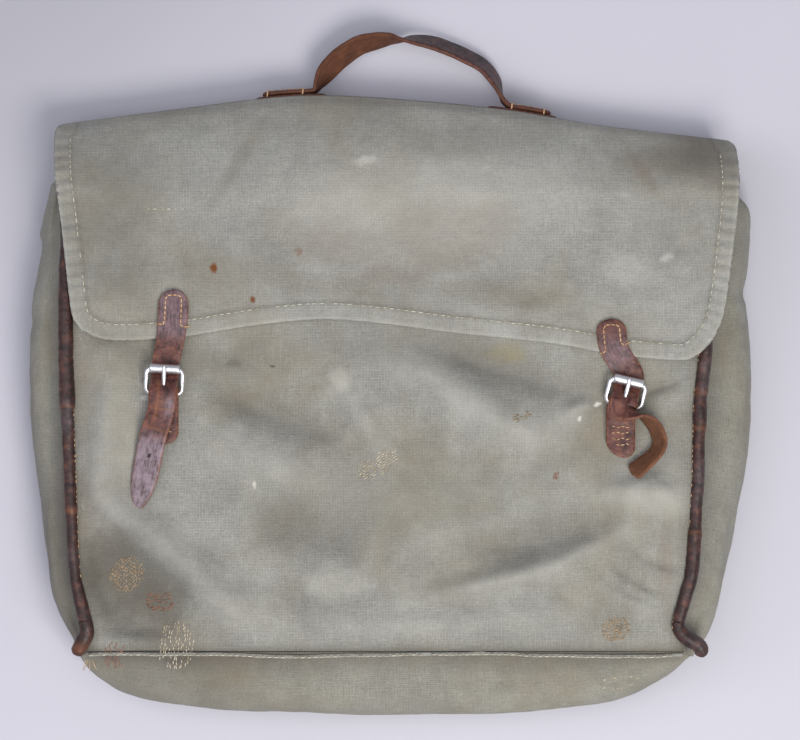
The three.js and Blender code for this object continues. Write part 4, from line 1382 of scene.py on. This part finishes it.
@dataclass
class CoverFlap:
    """The flap: one hemmed sheet from the top fold down over the mouth, with its pale stitching."""

    form: SackForm
    cloth: float = 1.5
    hem: float = 10.0
    top: tuple[tuple[float, float], ...] = (
        (-200.5, 170.3), (-195.7, 172.8), (-140.7, 179.8), (-75.3, 188), (-37.4, 190), (10, 187.6),
        (73, 181.4), (136, 171), (208, 162.4), (213, 160.4),
    )
    left: tuple[tuple[float, float], ...] = (
        (-200.5, 170.3), (-203, 165), (-202, 146), (-198.5, 120), (-195.2, 95), (-191.4, 66), (-189, 52),
        (-183.5, 44.2),
    )
    right: tuple[tuple[float, float], ...] = (
        (213, 160.4), (216.6, 154), (216.2, 124), (213, 96), (209.8, 74), (206, 53), (200.5, 40),
        (195.5, 34.2),
    )
    low: tuple[tuple[float, float], ...] = (
        (-183.5, 44.2), (-173, 39.3), (-160, 38), (-140, 39), (-119, 40.8), (-79, 47.2), (-37, 51), (2, 48),
        (41, 43), (103, 36.2), (139, 29.5), (152, 28), (181, 26), (190, 29), (195.5, 34.2),
    )

    def build(self) -> Drape:
        """Make the flap and its stitches.

        Returns:
            The flap's heights, for the straps sewn on it.
        """
        columns, rows = 230, 110
        u, v = np.linspace(0, 1, columns)[None, :, None], np.linspace(0, 1, rows)[:, None, None]
        top, low = spline(self.top, columns)[None], spline(self.low, columns)[None]
        left, right = spline(self.left, rows)[:, None], spline(self.right, rows)[:, None]
        plan = ((1 - v) * top + v * low + (1 - u) * left + u * right
                - (1 - u) * (1 - v) * top[:, :1] - u * (1 - v) * top[:, -1:]
                - (1 - u) * v * low[:, :1] - u * v * low[:, -1:])
        x, y = plan[..., 0], plan[..., 1]
        border = np.vstack([spline(self.left, 160), spline(self.low, 360)[1:],
                            spline(self.right, 160)[::-1][1:]])
        away = np.full(x.shape, np.inf)
        at = np.zeros(x.shape)
        walked = np.concatenate([[0], np.cumsum(np.linalg.norm(np.diff(border, axis=0), axis=1))])
        for place, distance in zip(border, walked):
            d = np.hypot(x - place[0], y - place[1])
            at = np.where(d < away, distance, at)
            away = np.minimum(away, d)
        doubled = 1 - smoothstep(away, self.hem - 0.2, self.hem + 1.6)
        pucker = 0.48 * np.sin(2 * np.pi * at / 7.3 + 2.2 * ripple(at, at * 0, 30, 1.0)) * doubled
        pull = -0.5 * np.exp(-(((away - self.hem + 0.6) / 1.1) ** 2))
        rounded = -0.5 * (1 - smoothstep(away, 0, 1.6))
        wave = 1.1 * ripple(at, away * 0.3, 38, 31.0) * (1 - smoothstep(away, 0, 26))
        z = self.form.flap(x, y) - self.cloth / 2 + 0.75 * doubled + pucker + pull + rounded + wave
        middle = np.stack([x, y, z], axis=2)
        # Pale rubbed edges; darker along the hem's sewn line; painted shade towards the rolled top and in the
        # upper right corner.
        marks = {
            "rubbed": 0.7 * np.exp(-((away / 1.3) ** 2)) + 0.16 * doubled,
            "grime": 0.30 * np.exp(-(((away - self.hem) / 1.3) ** 2)) + 0.18 * smoothstep(y, 160, 188)
            + 0.24 * smoothstep(x, 150, 205) * smoothstep(y, 120, 160),
        }
        piece = solid_sheet("flap_sheet", Surface(middle, self.cloth, plan, marks=marks))
        dress(piece, FLAP_CANVAS)
        drape = Drape.of(middle, self.cloth)
        sewn = self.stitching(border, drape)
        for part in (piece, sewn):
            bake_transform(part)
        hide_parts("flap")
        LOG.info("flap: hemmed sheet and %d stitches' faces", len(sewn.data.polygons))
        return drape

    def stitching(self, border: np.ndarray, drape: Drape) -> bpy.types.Object:
        """Sew the hem's row of stitches a hem's width inside the border.

        Args:
            border: The flap's edge from its upper left corner round to its upper right.
            drape: The flap's heights.

        Returns:
            The stitches as one piece.
        """
        along = np.gradient(border, axis=0)
        along /= np.linalg.norm(along, axis=1, keepdims=True)
        inside = np.stack([-along[:, 1], along[:, 0]], axis=1)
        line = border + inside * (self.hem - 0.6)
        line = line[10:-10]
        straight = line[::3]
        sewn = Threads("flap_hem_stitching", radius=0.40, seed=2)
        sewn.row(drape.lay(spline(straight, 420)), 2.9, 1.5, rise=0.55, missing=0.04)
        return dress(sewn.build(), PALE_THREAD)


# ---- Welts ------------------------------------------------------------------------------------


@dataclass
class LeatherWelt:
    """One side's leather welt: wrapped round its cord, thicker above, turned outwards at its end."""

    form: SackForm
    side: Side

    def radii(self) -> tuple[tuple[float, float], ...]:
        """Give the welt's radius at heights from its upper end down, with its overlapped joints."""
        if self.side is Side.LEFT:
            return ((128, 4.2), (60, 4.7), (30, 4.5), (4, 4.9), (-2, 4.8), (-4.5, 4.1), (-50, 3.6),
                    (-64, 3.9), (-68, 3.4), (-104, 3.3), (-120, 4.1), (-137, 4.4), (-160, 5.0))
        return ((128, 4.0), (60, 4.3), (10, 4.1), (-14, 4.3), (-17, 3.8), (-76, 3.7), (-80, 4.3), (-112, 4.2),
                (-136, 3.8), (-160, 4.6))

    def build(self) -> None:
        """Make the welt, its cord's finish and its stitching."""
        form, s = self.form, self.side.value
        y = np.linspace(form.mouth_y - 1, -136, 190)
        x = form.seam_x(s, y) + 0.35 * ripple(y, y * 0, 18, 4.0 + s)
        route = np.stack([x, y, form.level(y) + 0.7 + 0.3 * ripple(y, y * 0, 25, 9.0 + s)], axis=1)
        curl = ([(-181.4, -141, 62.4), (-183.4, -145.5, 61.8), (-185.8, -149.6, 60.8), (-187.2, -153.6, 59.4)]
                if self.side is Side.LEFT else
                [(181.4, -140.6, 62.4), (186, -144.6, 62), (191, -147.4, 60.8), (193.8, -150.6, 59.4),
                 (193, -154.4, 58)])
        tail = spline([route[-6], route[-1], *curl], 46)[6:]
        route = np.vstack([route, tail])
        heights = np.array(self.radii())[::-1]
        size = np.interp(route[:, 1], heights[:, 0], heights[:, 1])
        curled = np.linspace(0, 1, len(tail))
        size[-len(tail):] = np.interp(curled, [0, 0.55, 0.9, 1], [size[-len(tail)], 4.7, 4.4, 3.1])
        walked = np.concatenate([[0], np.cumsum(np.linalg.norm(np.diff(route, axis=0), axis=1))])
        level = walked * 0
        size = size * (1 + 0.05 * ripple(walked, level, 11, 2.0 + s) + 0.02 * ripple(walked, level, 2.6, 5.0))
        sides = 26
        places, faces, cloth = sweep(route, size, sides)
        round_at = np.repeat(np.arange(len(route)), sides)
        turn = np.tile(np.arange(sides), len(route))
        bump = ripple(turn * 1.3, walked[round_at], 5, 15.0 + s)
        centre = route[round_at]
        places = centre + (places - centre) * (1 + 0.05 * bump)[:, None]
        piece = new_object(f"{self.side.word}_welt_leather", places, faces)
        joints = {Side.LEFT: ((-2, 1.0), (-66, 2.2), (-150, 4.0)),
                  Side.RIGHT: ((-15.5, 1.6), (-79, 1.0), (6, 1.4))}
        scored = sum(np.exp(-(((places[:, 1] - at) / wide) ** 2)) for at, wide in joints[self.side])
        lip = np.exp(-(((turn - (17.5 if s < 0 else 21.5)) / 1.1) ** 2))
        worn = np.clip(ripple(cloth[:, 0], cloth[:, 1], 9, 3.0 + s), 0, 1)
        # Patches of bloom, partly painted sheen.
        bloom = 0.5 * smoothstep(ripple(cloth[:, 0], cloth[:, 1], 40, 8.0 + s), 0.05, 0.5)
        set_marks(piece, {"scored": 0.26 * scored, "edge": 0.75 * lip + 0.25 * worn, "bloom": bloom}, cloth)
        dress(piece, WELT_LEATHER)
        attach(piece, "sack")
        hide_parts(f"{self.side.word}_piping", f"{self.side.word}_piping_sleeve")
        cord = swept(f"{self.side.word}_cord_filler", route[2:-3], 2.0, 12)
        dress(cord, FILLER_CORD)
        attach(cord, "sack")
        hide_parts(f"{self.side.word}_piping_cord")
        self.stitching()
        LOG.info("%s welt: %d faces", self.side.word, len(piece.data.polygons))

    def stitching(self) -> None:
        """Sew the welt's inner lip down, and leave a few loose ends at the left one's foot."""
        form, s = self.form, self.side.value
        y = np.linspace(110, -138, 260)
        x = form.seam_x(s, y) - s * np.interp(y, (-150, 0, 130), (3.4, 3.9, 4.4))
        sewn = Threads(f"{self.side.word}_welt_stitching", radius=0.26, seed=21 + s)
        sewn.row(np.stack([x, y, form.level(y) + 1.5], axis=1), 1.6, 1.4, rise=0.4, missing=0.25)
        if self.side is Side.LEFT:
            chance = random.Random(40 + s)
            for _ in range(5):
                lean, reach = chance.uniform(-0.8, 0.8), chance.uniform(5, 10)
                start = (-180.5 + chance.uniform(-3, 3), -157.5, 58.5)
                end = (start[0] + lean * reach * 0.6, start[1] - reach, 54 - reach * 0.4)
                sewn.stitch(start, end, 1.2, 0.2)
        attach(dress(sewn.build(), GOLD_THREAD), "sack")


# ---- Closing straps and buckles ---------------------------------------------------------------


@dataclass
class ClosingStrap:
    """One side's closing strap with its buckle and the chape that holds the buckle.

    Its own frame stands at the buckle's heel bar on the front, turned with the buckle.
    """

    form: SackForm
    flap: Drape
    side: Side
    heel: tuple[float, float]
    turn: float
    tab: tuple[tuple[float, float], ...]
    tail: tuple[Place, ...]
    tail_blend: tuple[tuple[float, float], tuple[float, float]]
    width: float = 16.5
    leather: float = 2.5
    bar_spacing: float = 15.2
    roller_radius: float = 3.0
    wire: float = 1.5
    frame_half: float = 11.0
    heel_height: float = 4.7
    fold: float = 4.4
    chape_length: float = 31.0
    gap: float = 0.3

    def to_sack(self, places: np.ndarray | Sequence[Place]) -> np.ndarray:
        """Carry places from the buckle's frame to the sack's."""
        p = np.atleast_2d(np.asarray(places, float))
        c, s = math.cos(math.radians(self.turn)), math.sin(math.radians(self.turn))
        front = self.form.depth + self.form.canvas
        return np.stack([self.heel[0] + c * p[:, 0] - s * p[:, 1], self.heel[1] + s * p[:, 0] + c * p[:, 1],
                         front + p[:, 2]], axis=1)

    def tilted(self, places: np.ndarray | Sequence[Place]) -> np.ndarray:
        """Carry places from the tilted plane of the buckle to the sack's frame."""
        rise = self.leather + 1.7 + self.roller_radius - self.heel_height
        tilt = math.atan2(rise, self.bar_spacing)
        p = np.atleast_2d(np.asarray(places, float))
        c, s = math.cos(tilt), math.sin(tilt)
        return self.to_sack(np.stack([p[:, 0], c * p[:, 1] - s * p[:, 2],
                                      self.heel_height + s * p[:, 1] + c * p[:, 2]], axis=1))

    def build(self) -> None:
        """Make the strap, chape, buckle, roller, prong and their stitches."""
        self.strap()
        self.chape()
        self.buckle()
        LOG.info("%s strap: strap, chape and buckle", self.side.word)

    def stations(self) -> list[Place]:
        """Give the strap's route from its sewn tab to its tip: x, y, z, width and roll."""
        tab = [(x, y, self.flap.height(x, y) + self.leather / 2 + 0.2,
                self.width + (1.8 if k < 2 else 0.6), 0)
               for k, (x, y) in enumerate(self.tab)]
        over = self.heel_height + self.fold + self.gap
        climb = ((self.bar_spacing + 4, 0.015), (self.bar_spacing - 1, 0.01), (8.2, 0.40), (5.1, 0.74),
                 (2.2, 0.95), (-0.8, 1.01))
        past = [(0.0, y, self.gap + (over - self.gap) * share + self.leather / 2) for y, share in climb]
        return [*tab, *[(*p, self.width, 0) for p in self.to_sack(past)], *self.tail]

    def strap(self) -> None:
        """Make the strap and its loose tail in one length, with its holes, score line and stitches."""
        stations = self.stations()
        curve = spline(stations, 400)
        walked = np.concatenate([[0], np.cumsum(np.linalg.norm(np.diff(curve[:, :3], axis=0), axis=1))])

        def along_at(place: np.ndarray) -> float:
            """Give how far along the strap a place lies."""
            return float(walked[np.argmin(np.linalg.norm(curve[:, :2] - place[:2], axis=1))])

        prong_at = along_at(self.to_sack([(0, 9.2, 0)])[0])
        heel_at = along_at(self.to_sack([(0, 0, 0)])[0])
        total = float(walked[-1])
        left = self.side is Side.LEFT

        def hole(across: np.ndarray, along: np.ndarray) -> np.ndarray:
            """Say what the prong's hole takes out."""
            return (np.abs(across) < 1.5) & (np.abs(along - prong_at) < 2.6)

        def marks(across: np.ndarray, along: np.ndarray) -> dict[str, np.ndarray]:
            """Give the bloom with its painted sheen, the scored line and the punched holes with their painted
            shade.
            """
            # Bloom on the tab and the left tail is partly painted sheen; the patch beside the left heel adds
            # to it.
            bloom = 0.35 * smoothstep(along, 4, 18) * (1 - smoothstep(along, 26, 34))
            if left:
                bloom = 0.5 * (1 - smoothstep(along, 24, 34))
                bloom = bloom + 0.85 * smoothstep(along, heel_at + 20, heel_at + 34)
            patch = 0.75 * np.exp(-(((across + 4.5) / 2.6) ** 2) - (((along - heel_at - 8) / 6) ** 2)) * left
            scored = (np.exp(-(((across - 2.6) / 0.45) ** 2)) * smoothstep(along, heel_at - 9, heel_at - 3)
                      * (1 - smoothstep(along, heel_at + 18, heel_at + 22)) * left)
            joints = sum(np.exp(-(((along - heel_at - at) / 0.7) ** 2)) for at in (9.0, 22.0)) * left
            # Holes are marked dark: painted shade inside each hole.
            away = [np.hypot(across, along - (total - at)) for at in (34.0,)] if left else []
            away.append(np.hypot(across, along - prong_at))
            punched = sum(1 - smoothstep(d, 0.9, 1.5) for d in away)
            return {"bloom": np.clip(bloom + patch, 0, 1), "scored": 0.8 * scored + 0.4 * joints,
                    "punched": punched}

        piece = Ribbon(stations, self.leather, 1.0, tip_start=9.0, tip_end=22.0 if left else 4.0,
                       tip_power=1.7 if left else 2.4, across=15).build(
            f"{self.side.word}_strap_leather", hole, marks)
        dress(piece, STRAP_LEATHER)
        (sx, sy), (ex, ey) = self.tail_blend
        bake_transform(piece)
        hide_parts(f"{self.side.word}_strap", f"{self.side.word}_strap_tail")
        self.tab_stitching(curve, walked)

    def tab_stitching(self, curve: np.ndarray, walked: np.ndarray) -> None:
        """Sew the tab to the flap with a horseshoe of waxed thread, its two feet turned outwards.

        Args:
            curve: The strap's middle line with widths.
            walked: How far along each of its places lies.
        """
        half, top, foot = 4.9, 3.4, (21.5 if self.side is Side.LEFT else 17.5)
        corner = [(-half - 5.6, foot + 0.2), (-half - 1.2, foot + 0.6), (-half, foot - 2), (-half, 8.5),
                  (-half + 0.7, top + 0.8), (0, top), (half - 0.7, top + 0.8), (half, 8.5), (half, foot - 2),
                  (half + 1.2, foot + 0.6), (half + 5.6, foot + 0.2)]
        plan = spline(corner, 120)
        tangent = np.gradient(curve[:, :2], axis=0)
        tangent /= np.linalg.norm(tangent, axis=1, keepdims=True)
        route = []
        for across, along in plan:
            k = int(np.searchsorted(walked, along))
            aside = np.array([tangent[k, 1], -tangent[k, 0]])
            place = curve[k, :2] + aside * across
            sink = self.leather + 0.1 if abs(across) > self.width / 2 + 0.9 else 0.0
            route.append((*place, curve[k, 2] + self.leather / 2 + 0.12 - sink))
        sewn = Threads(f"{self.side.word}_tab_stitching", radius=0.48, seed=31 + self.side.value)
        sewn.row(np.array(route), 2.4, 0.7, rise=0.5, wander=0.08)
        dress(sewn.build(), GOLD_THREAD)
        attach(bpy.data.objects[sewn.name], "flap")

    def chape(self) -> None:
        """Make the chape: leather folded round the heel bar and sewn down in rows."""
        lean = -math.tan(math.radians(self.turn))
        low, high = self.gap + self.leather / 2, self.gap + 1.5 * self.leather
        middle = self.fold - self.leather / 2
        turned = [(0, middle * math.sin(a), self.heel_height - middle * math.cos(a))
                  for a in np.linspace(0.25, math.pi, 8)]
        upper = [(lean * max(0.0, b - 4.7), -b, z) for b, z in (
            (3.0, self.heel_height + middle - 0.4), (7.5, high + 1.6), (11.5, high + 0.15), (20, high),
            (self.chape_length, high))]
        lower = [(lean * (b - 4.7), -b, low) for b in (self.chape_length, 20, 8)] + [(0, -3, low)]
        width = self.width + 1.5
        stations = [(*p, width, 0) for p in self.to_sack([*lower, *turned, *upper])]
        c, s = math.cos(math.radians(self.turn)), math.sin(math.radians(self.turn))
        curve = spline(stations, 500)
        walked = np.concatenate([[0], np.cumsum(np.linalg.norm(np.diff(curve[:, :3], axis=0), axis=1))])
        fold_at = float(walked[np.argmax(curve[:, 1] * c - curve[:, 0] * s)])

        def slot(across: np.ndarray, along: np.ndarray) -> np.ndarray:
            """Say where the prong's slot is."""
            return (np.abs(across) < 2.1) & (np.abs(along - fold_at) < 7.5)

        def marks(across: np.ndarray, along: np.ndarray) -> dict[str, np.ndarray]:
            """Give the worn, orange fold."""
            return {"scored": 0.55 * np.exp(-(((along - fold_at - 3) / 2.2) ** 2)), "bloom": 0 * across}

        piece = Ribbon(stations, self.leather - 0.2, 0.9, tip_start=8.5, tip_end=8.5, aside=(-c, -s, 0),
                       across=13).build(f"{self.side.word}_chape_leather", slot, marks)
        dress(piece, STRAP_LEATHER)
        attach(piece, "sack")
        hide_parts(f"{self.side.word}_chape")
        rows = Threads(f"{self.side.word}_chape_stitching", radius=0.34, seed=51)
        front = self.form.depth + self.form.canvas + self.gap + 2 * self.leather + 0.1
        for below in (13.0, 16.5, 20.0, 23.5):
            x, y = self.to_sack([(lean * (below - 4.7), -below, 0)])[0, :2]
            across = np.linspace(-5.2, 5.2, 20)
            wave = 0.5 * np.sin(across + below)
            rows.row(np.stack([x + across, y + wave, np.full(20, front)], axis=1), 1.9, 0.9, 0.3, 0.25, 0.15)
        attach(dress(rows.build(), GOLD_THREAD), "sack")

    def buckle(self) -> None:
        """Make the wire frame, the roller on its far bar and the prong on its heel bar."""
        corner, half, top = 3.6, self.frame_half, self.bar_spacing
        route = []
        for cx, cy, start in ((half - corner, corner, -90), (half - corner, top - corner, 0),
                              (-half + corner, top - corner, 90), (-half + corner, corner, 180)):
            for a in np.radians(np.linspace(start, start + 90, 9)):
                route.append((cx + corner * math.cos(a), cy + corner * math.sin(a), 0))
        dense = []
        for a, b in zip(route, route[1:] + route[:1]):
            steps = max(1, int(math.dist(a, b) / 1.2))
            dense += [tuple(np.array(a) + (np.array(b) - a) * k / steps) for k in range(steps)]
        frame = swept(f"{self.side.word}_buckle_wire", self.tilted(dense), self.wire, 16, closed=True)
        ends = np.array([0.0, 0.25, 0.7, 1.4, 17.1, 17.8, 18.25, 18.5]) - 9.25
        size = np.array([2.3, 2.75, 2.95, 3.0, 3.0, 2.95, 2.75, 2.3])
        across = np.concatenate([ends[:4], np.linspace(-7, 7, 12), ends[4:]])
        radius = np.concatenate([size[:4], np.full(12, 3.0), size[4:]])
        roller = swept(f"{self.side.word}_roller_tube",
                       self.tilted([(a, self.bar_spacing, 0) for a in across]), radius, 28)
        eye = [(0, 2.5 * math.cos(a), 2.5 * math.sin(a))
               for a in np.linspace(0, 2 * math.pi, 28, endpoint=False)]
        rest = self.roller_radius + self.gap + 0.9
        shaft = spline([(0, 1.6, 2.1), (0, 4.2, 2.9), (0, 8, rest - 0.35), (0, 12, rest),
                        (0, 16, rest - 0.05), (0, 18.4, rest - 0.5)], 30)
        parts, first = [], 0
        faces: list[list[int]] = []
        for path, width, closed, flat in ((np.array(eye), 0.68, True, 1.6), (shaft, None, False, 0.72)):
            taper = np.interp(np.linspace(0, 1, 30), [0, 0.5, 0.93, 1], [1.1, 1.3, 1.2, 0.5])
            up = self.tilted([(1, 0, 0)])[0] - self.tilted([(0, 0, 0)])[0] if closed else (0, 0, 1)
            p, f, _ = sweep(self.tilted(path), width or taper, 14, up=up, closed=closed, flat=flat)
            parts.append(p)
            faces += [[first + k for k in face] for face in f]
            first += len(p)
        prong = new_object(f"{self.side.word}_prong_wire", np.vstack(parts), faces)
        for part, body, node in ((frame, "buckle", "buckle_frame"), (roller, "roller", "buckle_roller"),
                                 (prong, "prong", "buckle_prong")):
            dress(part, NICKEL)
            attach(part, f"{self.side.word}_{body}")
            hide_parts(f"{self.side.word}_{node}")


# ---- Carry handle -----------------------------------------------------------------------------


@dataclass
class CarryHandle:
    """The carry handle: one leather strap, twisted near its middle, on two patches on the top fold."""

    form: SackForm
    level: float = 13.0
    width: float = 17.0
    leather: float = 2.8
    patch: float = 2.0

    def on_fold(self, x: float, lift: float) -> tuple[float, float]:
        """Give a place beside the top fold at x, lifted off it."""
        return (x, float(self.form.top_line(x)) - 0.2 + lift)

    def build(self) -> None:
        """Make the strap, the patches and the stitches through them."""
        lift = self.patch + self.leather / 2 + 0.4
        left_tab = [(*self.on_fold(x, lift), self.level, self.width + 1.5, 90) for x in (-76, -66, -56, -49)]
        right_tab = [(*self.on_fold(x, lift), self.level, self.width + 1.5, 90) for x in (79, 86, 95, 104)]
        loop = [
            (-43.5, 194.5, 13, 17.5, 92), (-40.5, 199.5, 13, 17.5, 108), (-36, 206, 13, 17, 128),
            (-28, 214.4, 13, 17, 132), (-16.5, 222.2, 13, 17, 128), (-6, 225.2, 13, 17, 120),
            (3, 226.6, 13, 17, 106), (10.5, 226.0, 13, 17, 88), (18, 226.2, 13, 17, 70),
            (29.5, 224.4, 13, 17, 60),
            (41, 220.4, 13, 17, 58), (53, 215, 13, 17, 58), (62.5, 209.2, 13, 17, 60), (69, 201, 13, 17, 66),
            (72, 193.5, 13, 17.5, 82), (74.2, 188.5, 13, 17.5, 90),
        ]
        stations = [*left_tab, *loop, *right_tab]

        def marks(across: np.ndarray, along: np.ndarray) -> dict[str, np.ndarray]:
            """Give the plain values that the leather's finish reads."""
            ends = np.minimum(along, along.max() - along)
            # A band of bloom along part of the loop, partly painted sheen.
            return {"scored": 0.35 * np.exp(-((ends / 2.0) ** 2)), "bloom": 0.22 * smoothstep(along, 110, 150)
                    * (1 - smoothstep(along, 190, 215))}

        piece = Ribbon(stations, self.leather, 1.1, tip_start=7, tip_end=7, across=15).build(
            "handle_leather_strap", None, marks)
        dress(piece, HANDLE_LEATHER)
        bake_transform(piece)
        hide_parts("handle", "left_handle_tab", "right_handle_tab")
        sewn = Threads("handle_stitching", radius=0.5, seed=61)
        for word, low, high, out in (("left", -80, -36, -72), ("right", 64, 108, 100)):
            places = [(*self.on_fold(x, self.patch / 2 + 0.1), self.level, 21, 90)
                      for x in np.linspace(low, high, 6)]
            patch = Ribbon(places, self.patch, 1.1, tip_start=5, tip_end=5, across=13).build(
                f"{word}_handle_patch_leather")
            dress(patch, PATCH_LEATHER)
            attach(patch, "sack")
            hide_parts(f"{word}_handle_patch")
            inner = out + (21 if word == "left" else -21)
            for x in (out - 1, inner):
                top = self.on_fold(x, 0.6)
                sewn.stitch((top[0], top[1], 22.4), (top[0] + 0.6, top[1] + 5.0, 22.0), 0.8)
            for z in (6.5, 19.5):
                for x in np.linspace(min(out, inner), max(out, inner) - 2.2, 6):
                    outer = lift + self.leather / 2 + 0.1
                    sewn.stitch((*self.on_fold(x, outer), z), (*self.on_fold(x + 2.2, outer), z), 0.3)
        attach(dress(sewn.build(), GOLD_THREAD), "sack")
        LOG.info("handle: strap, two patches and their stitches")


# ---- Studio -----------------------------------------------------------------------------------


@dataclass(frozen=True)
class SoftLight:
    """One soft box: where it hangs, how large it is and how strong, in metres and watts."""

    name: str
    place: tuple[float, float, float]
    size: float
    power: float
    colour: str = "ffffff"

    def hang(self) -> None:
        """Hang the light, turned to the sack."""
        lamp = bpy.data.lights.new(self.name, "AREA")
        lamp.shape, lamp.size = "SQUARE", self.size
        lamp.energy, lamp.color = self.power, linear(self.colour)[:3]
        box = bpy.data.objects.new(self.name, lamp)
        box.location = self.place
        box.rotation_euler = (Vector((0, 0, 0)) - Vector(self.place)).to_track_quat("-Z", "Y").to_euler()
        bpy.context.scene.collection.objects.link(box)


@dataclass
class Studio:
    """The board under the sack, the camera straight above it and the soft light round it."""

    centre: tuple[float, float] = (9.8, 19.8)
    distance: float = 2.0
    field_width: float = 0.488
    front_height: float = 0.062
    lights: tuple[SoftLight, ...] = (
        SoftLight("key_box", (0.45, -0.85, 1.5), 0.8, 21, "fffcf6"),
        SoftLight("over_box", (0.0, 0.1, 2.4), 1.6, 10, "ffffff"),
        SoftLight("side_box", (-1.2, 0.15, 1.5), 1.3, 8, "f2f3ff"),
    )
    sky: str = "dfe2ee"
    sky_strength: float = 0.47

    def build(self) -> None:
        """Set up the board, camera, lights and sky."""
        scene = bpy.context.scene
        scene.view_settings.view_transform = "Standard"
        scene.view_settings.look = "None"
        lens = bpy.data.cameras.new("camera")
        lens.sensor_width = 36.0
        lens.lens = 36.0 * self.distance / self.field_width
        lens.clip_end = 20
        camera = bpy.data.objects.new("camera", lens)
        camera.location = (self.centre[0] * MM, self.centre[1] * MM, self.distance + self.front_height)
        scene.collection.objects.link(camera)
        scene.camera = camera
        for light in self.lights:
            light.hang()
        world = bpy.data.worlds.new("soft_sky")
        world.use_nodes = True
        ground = world.node_tree.nodes["Background"]
        ground.inputs["Color"].default_value = linear(self.sky)
        ground.inputs["Strength"].default_value = self.sky_strength
        scene.world = world
        mesh = bpy.data.meshes.new("board")
        corners = [(x * 3, y * 3, -0.0004) for x, y in ((-1, -1), (1, -1), (1, 1), (-1, 1))]
        mesh.from_pydata(corners, [], [(0, 1, 2, 3)])
        board = bpy.data.objects.new("board", mesh)
        scene.collection.objects.link(board)
        board.data.materials.append(PaleBoard("pale_painted_board").material())


# ---- Assembly ---------------------------------------------------------------------------------


def straps(form: SackForm, flap: Drape) -> Iterable[ClosingStrap]:
    """Give both closing straps: the left tail hangs down, the right one is twisted and curls back.

    Args:
        form: The sack's shape.
        flap: Heights of the flap, which the tabs are sewn on.

    Returns:
        The two straps.
    """
    left = ClosingStrap(
        form, flap, Side.LEFT, heel=(-134.0, 5.5), turn=-3.0, tab=((-128, 69), (-128.4, 53), (-130, 38)),
        tail=((-135.3, -4.5, 71.7, 16.5, 0), (-137.2, -11, 69.9, 16.5, 0), (-139.6, -18, 69.2, 16.5, -4),
              (-143, -33, 67.0, 16.5, -7), (-146, -47, 65.6, 16.0, -5), (-150, -65, 64.6, 15.5, -2)),
        tail_blend=((-134.3, 0.0), (-135.4, -9.5)))
    right = ClosingStrap(
        form, flap, Side.RIGHT, heel=(145.3, -1.7), turn=-14.0, tab=((138.5, 51), (138.7, 42), (140.5, 32)),
        tail=((148.2, -4.2, 73.4, 15.5, 24), (152.4, -6.2, 73.2, 14.5, 62), (157.6, -8.4, 72.4, 14, 100),
              (162.8, -12.4, 71.2, 14, 118), (166.6, -18.8, 70.6, 14, 122), (167.4, -26, 70.2, 14, 122),
              (162.8, -32.9, 69.8, 14, 122), (156.4, -38.4, 69.4, 14.5, 128), (150.5, -43.4, 69.0, 15, 132)),
        tail_blend=((146.5, -3.0), (163.5, -21.0)))
    return (left, right)


def main() -> None:
    """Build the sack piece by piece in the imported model's frame."""
    logging.basicConfig(level=logging.INFO, format="%(name)s: %(message)s")
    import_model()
    Studio().build()
    form = SackForm()
    CanvasBody(form).build()
    flap = CoverFlap(form).build()
    for side in Side:
        LeatherWelt(form, side).build()
    for strap in straps(form, flap):
        strap.build()
    CarryHandle(form).build()
    LOG.info("sizes written")


if __name__ == "__main__":
    main()
